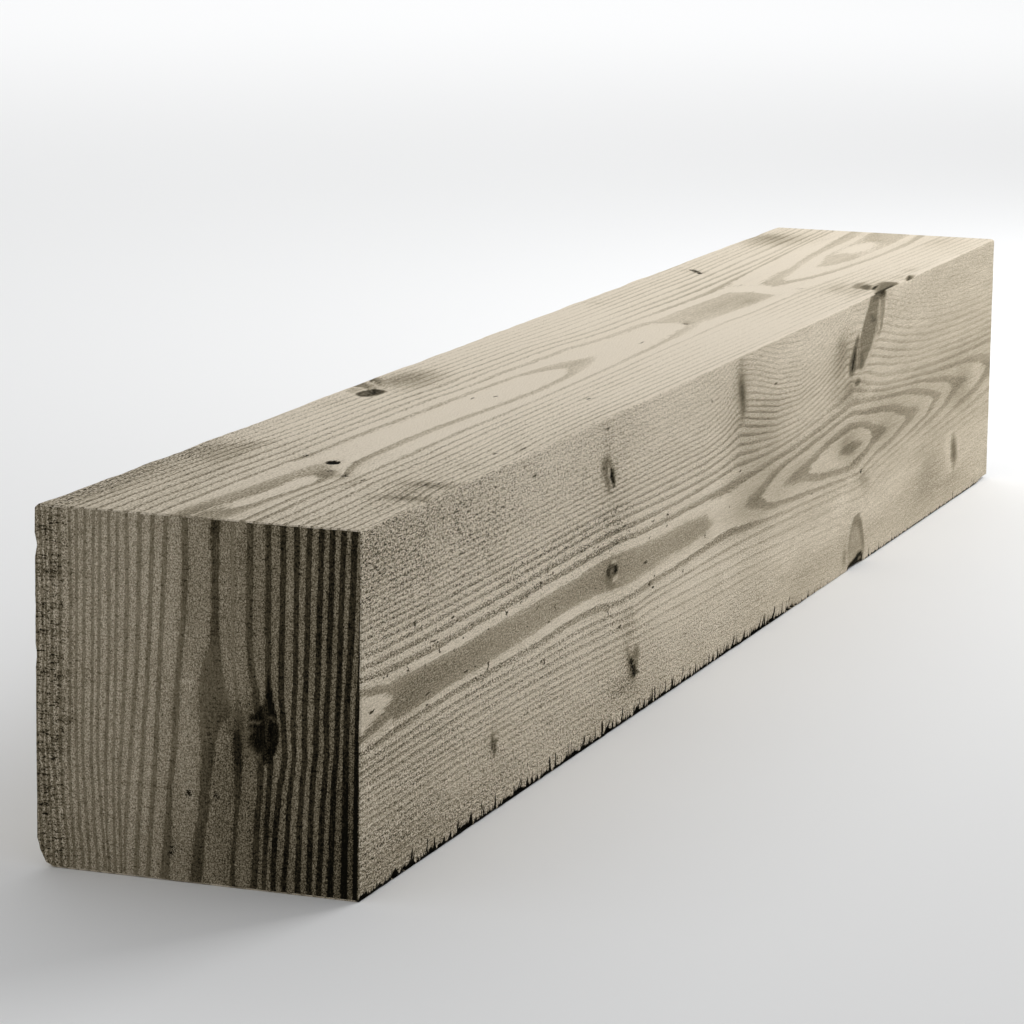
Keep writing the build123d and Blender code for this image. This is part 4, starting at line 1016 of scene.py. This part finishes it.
# ---------------------------------------------------------------- node materials
class Nodes:
    def __init__(self, name):
        self.mat = bpy.data.materials.new(name)
        self.mat.use_nodes = True
        self.t = self.mat.node_tree
        self.t.nodes.clear()
        tc = self.new("ShaderNodeTexCoord")
        self.mm = self.vec("SCALE", tc.outputs["Object"], scale=1000.0)

    def new(self, kind, **props):
        n = self.t.nodes.new(kind)
        for k, v in props.items():
            setattr(n, k, v)
        return n

    def put(self, socket, v):
        if isinstance(v, bpy.types.NodeSocket):
            self.t.links.new(v, socket)
        elif v is not None:
            socket.default_value = v

    def m(self, op, a, b=None, c=None, clamp=False):
        n = self.new("ShaderNodeMath", operation=op, use_clamp=clamp)
        for s, v in zip(n.inputs, (a, b, c)):
            self.put(s, v)
        return n.outputs[0]

    def vec(self, op, a, b=None, scale=None):
        n = self.new("ShaderNodeVectorMath", operation=op)
        self.put(n.inputs[0], a)
        if b is not None:
            self.put(n.inputs[1], b)
        if scale is not None:
            n.inputs["Scale"].default_value = scale
        return n.outputs["Value"] if op in ("LENGTH", "DISTANCE", "DOT_PRODUCT") else n.outputs["Vector"]

    def stretch(self, sx, sy, sz, shift=(0, 0, 0)):
        n = self.new("ShaderNodeVectorMath", operation="MULTIPLY_ADD")
        self.put(n.inputs[0], self.mm)
        n.inputs[1].default_value = (sx, sy, sz)
        n.inputs[2].default_value = shift
        return n.outputs["Vector"]

    def noise(self, v, detail=2.0, rough=.5, scale=1.0, distort=0.0):
        n = self.new("ShaderNodeTexNoise", noise_dimensions="3D")
        self.put(n.inputs["Vector"], v)
        n.inputs["Scale"].default_value = scale
        n.inputs["Detail"].default_value = detail
        n.inputs["Roughness"].default_value = rough
        n.inputs["Distortion"].default_value = distort
        return n.outputs[0]

    def attr(self, name):
        return self.new("ShaderNodeAttribute", attribute_type="GEOMETRY", attribute_name=name).outputs["Fac"]

    def fit(self, v, a, b, c=0.0, d=1.0, soft=True):
        n = self.new("ShaderNodeMapRange", interpolation_type="SMOOTHSTEP" if soft else "LINEAR", clamp=True)
        self.put(n.inputs["Value"], v)
        for k, s in (("From Min", a), ("From Max", b), ("To Min", c), ("To Max", d)):
            self.put(n.inputs[k], s)
        return n.outputs[0]

    def ramp(self, v, stops):
        n = self.new("ShaderNodeValToRGB")
        self.put(n.inputs["Fac"], v)
        els = n.color_ramp.elements
        while len(els) < len(stops):
            els.new(.5)
        for e, (p, c) in zip(els, stops):
            e.position = p
            e.color = (*c, 1)
        return n.outputs["Color"]

    def mix(self, f, a, b, mode="MIX"):
        n = self.new("ShaderNodeMix", data_type="RGBA", blend_type=mode)
        self.put(n.inputs[0], f)
        self.put(n.inputs[6], a)
        self.put(n.inputs[7], b)
        return n.outputs[2]

    def flecks(self, items, plane, at_mm, shift):
        """Least scaled distance to a list of thin flecks on a face; 1 is a fleck's edge."""
        best, spaces = None, {}
        for u, v, a, b in items:
            su, sv = 1 / a, 1 / b
            far = 1 / 60
            if (a, b) not in spaces:
                m = self.new("ShaderNodeVectorMath", operation="MULTIPLY")
                self.put(m.inputs[0], at_mm)
                m.inputs[1].default_value = (su, far, sv) if plane == "side" else (su, sv, far)
                spaces[(a, b)] = m.outputs["Vector"]
            if plane == "side":
                at = ((u - LENGTH / 2 + shift[0]) * su, (-WIDTH / 2 + shift[1]) * far, (v + shift[2]) * sv)
            else:
                at = ((u - LENGTH / 2 + shift[0]) * su, (v - WIDTH / 2 + shift[1]) * sv, (HEIGHT + shift[2]) * far)
            d = self.vec("DISTANCE", spaces[(a, b)], at)
            best = d if best is None else self.m("MINIMUM", best, d)
        return best

    def close(self, colour, rough, shine, height, bump, dist):
        b = self.new("ShaderNodeBump")
        b.inputs["Strength"].default_value = bump
        b.inputs["Distance"].default_value = dist
        self.put(b.inputs["Height"], height)
        s = self.new("ShaderNodeBsdfPrincipled")
        self.put(s.inputs["Base Color"], colour)
        self.put(s.inputs["Roughness"], rough)
        self.put(s.inputs["Specular IOR Level"], shine)
        self.put(s.inputs["Normal"], b.outputs["Normal"])
        o = self.new("ShaderNodeOutputMaterial")
        self.t.links.new(s.outputs["BSDF"], o.inputs["Surface"])
        return self.mat


WOOD = [(0.0, (.78, .695, .565)), (.16, (.62, .545, .425)), (.36, (.40, .345, .252)), (.58, (.205, .172, .113)),
        (.80, (.072, .058, .033)), (1.0, (.0066, .0060, .0040))]


def long_face(name, pits=(), plane="side"):
    n = Nodes(name)
    phase, duty, lines, tone, speckle, knot = (n.attr(k) for k in ("phase", "duty", "lines", "tone", "speckle", "knot"))
    gu, gv = (.42, 1.35) if plane == "top" else (.62, 1.60)
    slow = n.noise(n.stretch(.012, .16, .16), 2)
    ragged = n.noise(n.stretch(.12, 1.9, 1.9, (7, 3, 1)), 2, .65)
    rag0 = n.m("SUBTRACT", ragged, .5)
    p = n.m("MULTIPLY_ADD", n.m("SUBTRACT", slow, .5), .20, phase)
    p = n.m("MULTIPLY_ADD", rag0, .34, p)
    f = n.m("FRACT", p)
    t = n.m("DIVIDE", n.m("ADD", n.m("SUBTRACT", f, .5), duty), duty)
    rise = n.m("MULTIPLY_ADD", n.fit(t, 0, .42), .80, n.m("MULTIPLY", n.fit(t, .3, 1), .20))
    drop = n.fit(f, .46, .54, 1, 0)
    dark = n.m("MULTIPLY", rise, drop)
    # the pale wood next to a ring's sharp edge is a touch paler still
    pale = n.m("MULTIPLY", n.fit(f, .5, .58), n.fit(f, .95, .55))
    ring = n.m("MULTIPLY_ADD", dark, .33, n.m("MULTIPLY", pale, -.05))
    ring = n.m("MULTIPLY", ring, lines)
    # grain: specks about as fine as the eye can pick out, stronger where the saw tore the fibres
    grit = n.noise(n.stretch(gu, gv, gv, (2, 7, 4)), 2, .6)
    speck = n.m("SUBTRACT", n.fit(grit, .34, .66, soft=False), .5)
    fine = n.noise(n.stretch(.16, 3.0, 3.0, (3, 9, 2)), 2, .65)
    fibre = n.noise(n.stretch(.022, 1.5, 1.5), 2, .65)
    much = n.m("MULTIPLY_ADD", speckle, .60, .09)
    much = n.m("MULTIPLY_ADD", n.m("MULTIPLY", dark, lines), n.m("MULTIPLY", speckle, .32), much)
    T = n.m("ADD", ring, tone)
    T = n.m("MULTIPLY_ADD", n.m("SUBTRACT", fibre, .5), .30, T)
    T = n.m("MULTIPLY_ADD", n.m("SUBTRACT", fine, .5), n.m("MULTIPLY_ADD", speckle, .35, .18), T)
    T = n.m("MULTIPLY_ADD", speck, much, T)
    dash = n.noise(n.stretch(.52, 1.25, 1.25, (11, 5, 8)), 2, .6)
    often = n.attr("ticks")
    dash = n.fit(n.m("MULTIPLY_ADD", often, .045, dash), .61, .665)
    T = n.m("MULTIPLY_ADD", n.m("MULTIPLY", dash, n.m("MINIMUM", often, 1.0)), .62, T)
    T = n.m("ADD", T, .075)
    hole = n.fit(n.m("MULTIPLY_ADD", speck, 1.6, knot), -.9, .6)
    T = n.m("MAXIMUM", T, hole)
    if pits:
        warp = n.new("ShaderNodeTexNoise", noise_dimensions="3D")
        n.put(warp.inputs["Vector"], n.stretch(.35, .9, .9, (5, 5, 5)))
        warp.inputs["Scale"].default_value = 1.0
        warp.inputs["Detail"].default_value = 1.0
        bend = n.new("ShaderNodeVectorMath", operation="MULTIPLY_ADD")
        n.put(bend.inputs[0], warp.outputs["Color"])
        bend.inputs[1].default_value = (7.0, 2.2, 2.2)
        n.put(bend.inputs[2], n.mm)
        near = n.flecks(pits, plane, bend.outputs["Vector"], (3.5, 1.1, 1.1))
        pit = n.fit(near, 1.25, .7)
        T = n.m("MAXIMUM", T, n.m("MULTIPLY", pit, .84))
    if plane != "top":
        # painted shade: dark slits between the torn fibres, and the painted contact shadow along the lower edge
        slit = n.noise(n.stretch(.28, 0, .03, (4, 0, 2)), 3, .65)
        slit = n.fit(slit, .33, .67, soft=False)
        torn = n.attr("painted_slit_and_contact_shade")
        slit = n.m("MULTIPLY_ADD", n.m("SUBTRACT", torn, 1.0), .78, slit)
        T = n.m("MAXIMUM", T, n.m("MULTIPLY", n.fit(slit, .10, .22), n.fit(torn, .02, .10)))
    T = n.m("MAXIMUM", n.m("MINIMUM", T, 1.0), 0.0)
    colour = n.ramp(T, WOOD)
    rough = n.m("MULTIPLY_ADD", T, -.08, .92)
    h = n.m("MULTIPLY", fine, .8)
    h = n.m("MULTIPLY_ADD", speck, n.m("MULTIPLY_ADD", speckle, -.9, -.15), h)
    h = n.m("MULTIPLY_ADD", hole, -1.0, h)
    return n.close(colour, rough, n.fit(T, .70, .95, .12, .01), h, .7, .0005)


def cut_end(name):
    n = Nodes(name)
    phase, lines, tone, speckle, knot = (n.attr(k) for k in ("phase", "lines", "tone", "speckle", "knot"))
    slow = n.noise(n.stretch(.05, .10, .02), 2)
    ragged = n.noise(n.stretch(.4, 1.4, .30, (7, 3, 1)), 3, .68)
    p = n.m("MULTIPLY_ADD", n.m("SUBTRACT", slow, .5), .10, phase)
    p = n.m("MULTIPLY_ADD", n.m("SUBTRACT", ragged, .5), .26, p)
    f = n.m("FRACT", n.m("ADD", p, .5))
    away = n.m("ABSOLUTE", n.m("SUBTRACT", f, .5))
    band = n.fit(away, .28, .22)
    dark = n.m("MULTIPLY", band, lines)
    # pale wood brightens towards the middle of each gap
    mid = n.m("MULTIPLY", n.fit(away, .28, .46), -.04)
    grit = n.noise(n.stretch(.9, 1.7, 1.5, (8, 1, 4)), 2, .65)
    speck = n.m("SUBTRACT", n.fit(grit, .34, .66, soft=False), .5)
    fibre = n.noise(n.stretch(.5, 1.6, .09, (1, 6, 2)), 3, .7)
    T = n.m("MULTIPLY_ADD", dark, .17, tone)
    T = n.m("ADD", T, mid)
    T = n.m("MULTIPLY_ADD", n.m("SUBTRACT", fibre, .5), .34, T)
    much = n.m("MULTIPLY", n.m("MULTIPLY_ADD", speckle, .66, .10), n.m("MULTIPLY_ADD", band, -.58, 1.0))
    T = n.m("MULTIPLY_ADD", speck, much, T)
    saw = n.noise(n.stretch(.05, .14, 1.0, (2, 2, 2)), 3, .7)
    T = n.m("MULTIPLY_ADD", n.fit(saw, .55, .62), n.m("MULTIPLY", n.m("POWER", speckle, 5.0), .36), T)
    dash = n.noise(n.stretch(.5, .45, .9, (3, 5, 8)), 2, .6)
    T = n.m("MULTIPLY_ADD", n.m("MULTIPLY", n.fit(dash, .58, .66), n.attr("ticks")), .34, T)
    hole = n.fit(n.m("MULTIPLY_ADD", speck, 2.4, knot), -1.6, .2)
    T = n.m("MAXIMUM", T, n.m("MULTIPLY", hole, .96))
    T = n.m("MAXIMUM", n.m("MINIMUM", T, 1.0), 0.0)
    colour = n.ramp(T, WOOD)
    rough = n.m("MULTIPLY_ADD", T, -.06, .90)
    h = n.m("MULTIPLY", speck, -.8)
    h = n.m("MULTIPLY_ADD", saw, .5, h)
    h = n.m("MULTIPLY_ADD", hole, -1.0, h)
    return n.close(colour, rough, n.fit(T, .70, .95, .12, .01), h, .6, .0005)


mesh.materials.append(long_face("timber_right_face", SIDE_PITS, "side"))
mesh.materials.append(long_face("timber_top_face", TOP_PITS, "top"))
mesh.materials.append(long_face("timber_plain_faces", (), "plain"))
mesh.materials.append(cut_end("timber_near_end"))
mesh.materials.append(cut_end("timber_far_end"))

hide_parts("sawn_timber")
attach(board, "root")

# ---------------------------------------------------------------- floor, light, camera
bpy.ops.mesh.primitive_grid_add(x_subdivisions=8, y_subdivisions=8, size=40.0, location=(6, 0, 0))
floor = bpy.context.object
floor.name = "studio_floor"
n = Nodes("studio_paper")
s = n.new("ShaderNodeBsdfPrincipled")
s.inputs["Base Color"].default_value = (.86, .865, .87, 1)
s.inputs["Roughness"].default_value = .8
s.inputs["Specular IOR Level"].default_value = .1
o = n.new("ShaderNodeOutputMaterial")
n.t.links.new(s.outputs["BSDF"], o.inputs["Surface"])
floor.data.materials.append(n.mat)

ROOM, GLOW, KEY, BACK = .525, .02, 17.7, 126.0
scene = bpy.context.scene
w = bpy.data.worlds.new("studio")
scene.world = w
w.use_nodes = True
# the room is darker on the near side than behind the timber
wt = w.node_tree
tc = wt.nodes.new("ShaderNodeTexCoord")
sx = wt.nodes.new("ShaderNodeSeparateXYZ")
wt.links.new(tc.outputs["Generated"], sx.inputs[0])
mr = wt.nodes.new("ShaderNodeMapRange")
mr.interpolation_type = "SMOOTHSTEP"
for k, v in (("From Min", -.7), ("From Max", .7), ("To Min", ROOM), ("To Max", ROOM + GLOW)):
    mr.inputs[k].default_value = v
wt.links.new(sx.outputs[0], mr.inputs["Value"])
wt.nodes["Background"].inputs["Color"].default_value = (1, 1, 1, 1)
wt.links.new(mr.outputs[0], wt.nodes["Background"].inputs["Strength"])



def softbox(name, place, aim, size, watts):
    data = bpy.data.lights.new(name, "AREA")
    data.shape = "RECTANGLE"
    data.size, data.size_y = size
    data.energy = watts
    lamp = bpy.data.objects.new(name, data)
    scene.collection.objects.link(lamp)
    f = np.array(aim, float) - np.array(place, float)
    f /= np.linalg.norm(f)
    r = np.cross(f, (0, 0, 1.0))
    r /= np.linalg.norm(r)
    up = np.cross(r, f)
    lamp.matrix_world = Matrix(((r[0], up[0], -f[0], place[0]), (r[1], up[1], -f[1], place[1]),
                                (r[2], up[2], -f[2], place[2]), (0, 0, 0, 1)))
    return lamp


softbox("key_softbox", (1.35, -.75, 1.05), (.25, 0, .1), (.9, .7), KEY)
softbox("background_softbox", (4.6, 1.7, 3.6), (5.0, 1.85, 0.0), (5.0, 4.5), BACK)

yaw, pitch, roll = 0.3484459745746328, 0.18636362308995555, -0.013052455980134561
fwd = np.array([math.cos(yaw) * math.cos(pitch), math.sin(yaw) * math.cos(pitch), -math.sin(pitch)])
right = np.array([math.sin(yaw), -math.cos(yaw), 0.0])
down = np.cross(fwd, right)
r2 = math.cos(roll) * right + math.sin(roll) * down
d2 = -math.sin(roll) * right + math.cos(roll) * down
cam_data = bpy.data.cameras.new("camera")
cam_data.sensor_width = 36.0
cam_data.lens = 145.96
cam_data.clip_start, cam_data.clip_end = .05, 200
cam = bpy.data.objects.new("camera", cam_data)
scene.collection.objects.link(cam)
cam.matrix_world = Matrix(((r2[0], -d2[0], -fwd[0], -1.988545), (r2[1], -d2[1], -fwd[1], -0.666265),
                           (r2[2], -d2[2], -fwd[2], 0.456669), (0, 0, 0, 1)))
scene.camera = cam
scene.view_settings.view_transform = "Standard"
scene.view_settings.look = "None"
scene.view_settings.exposure = 0.0
scene.view_settings.gamma = 1.0
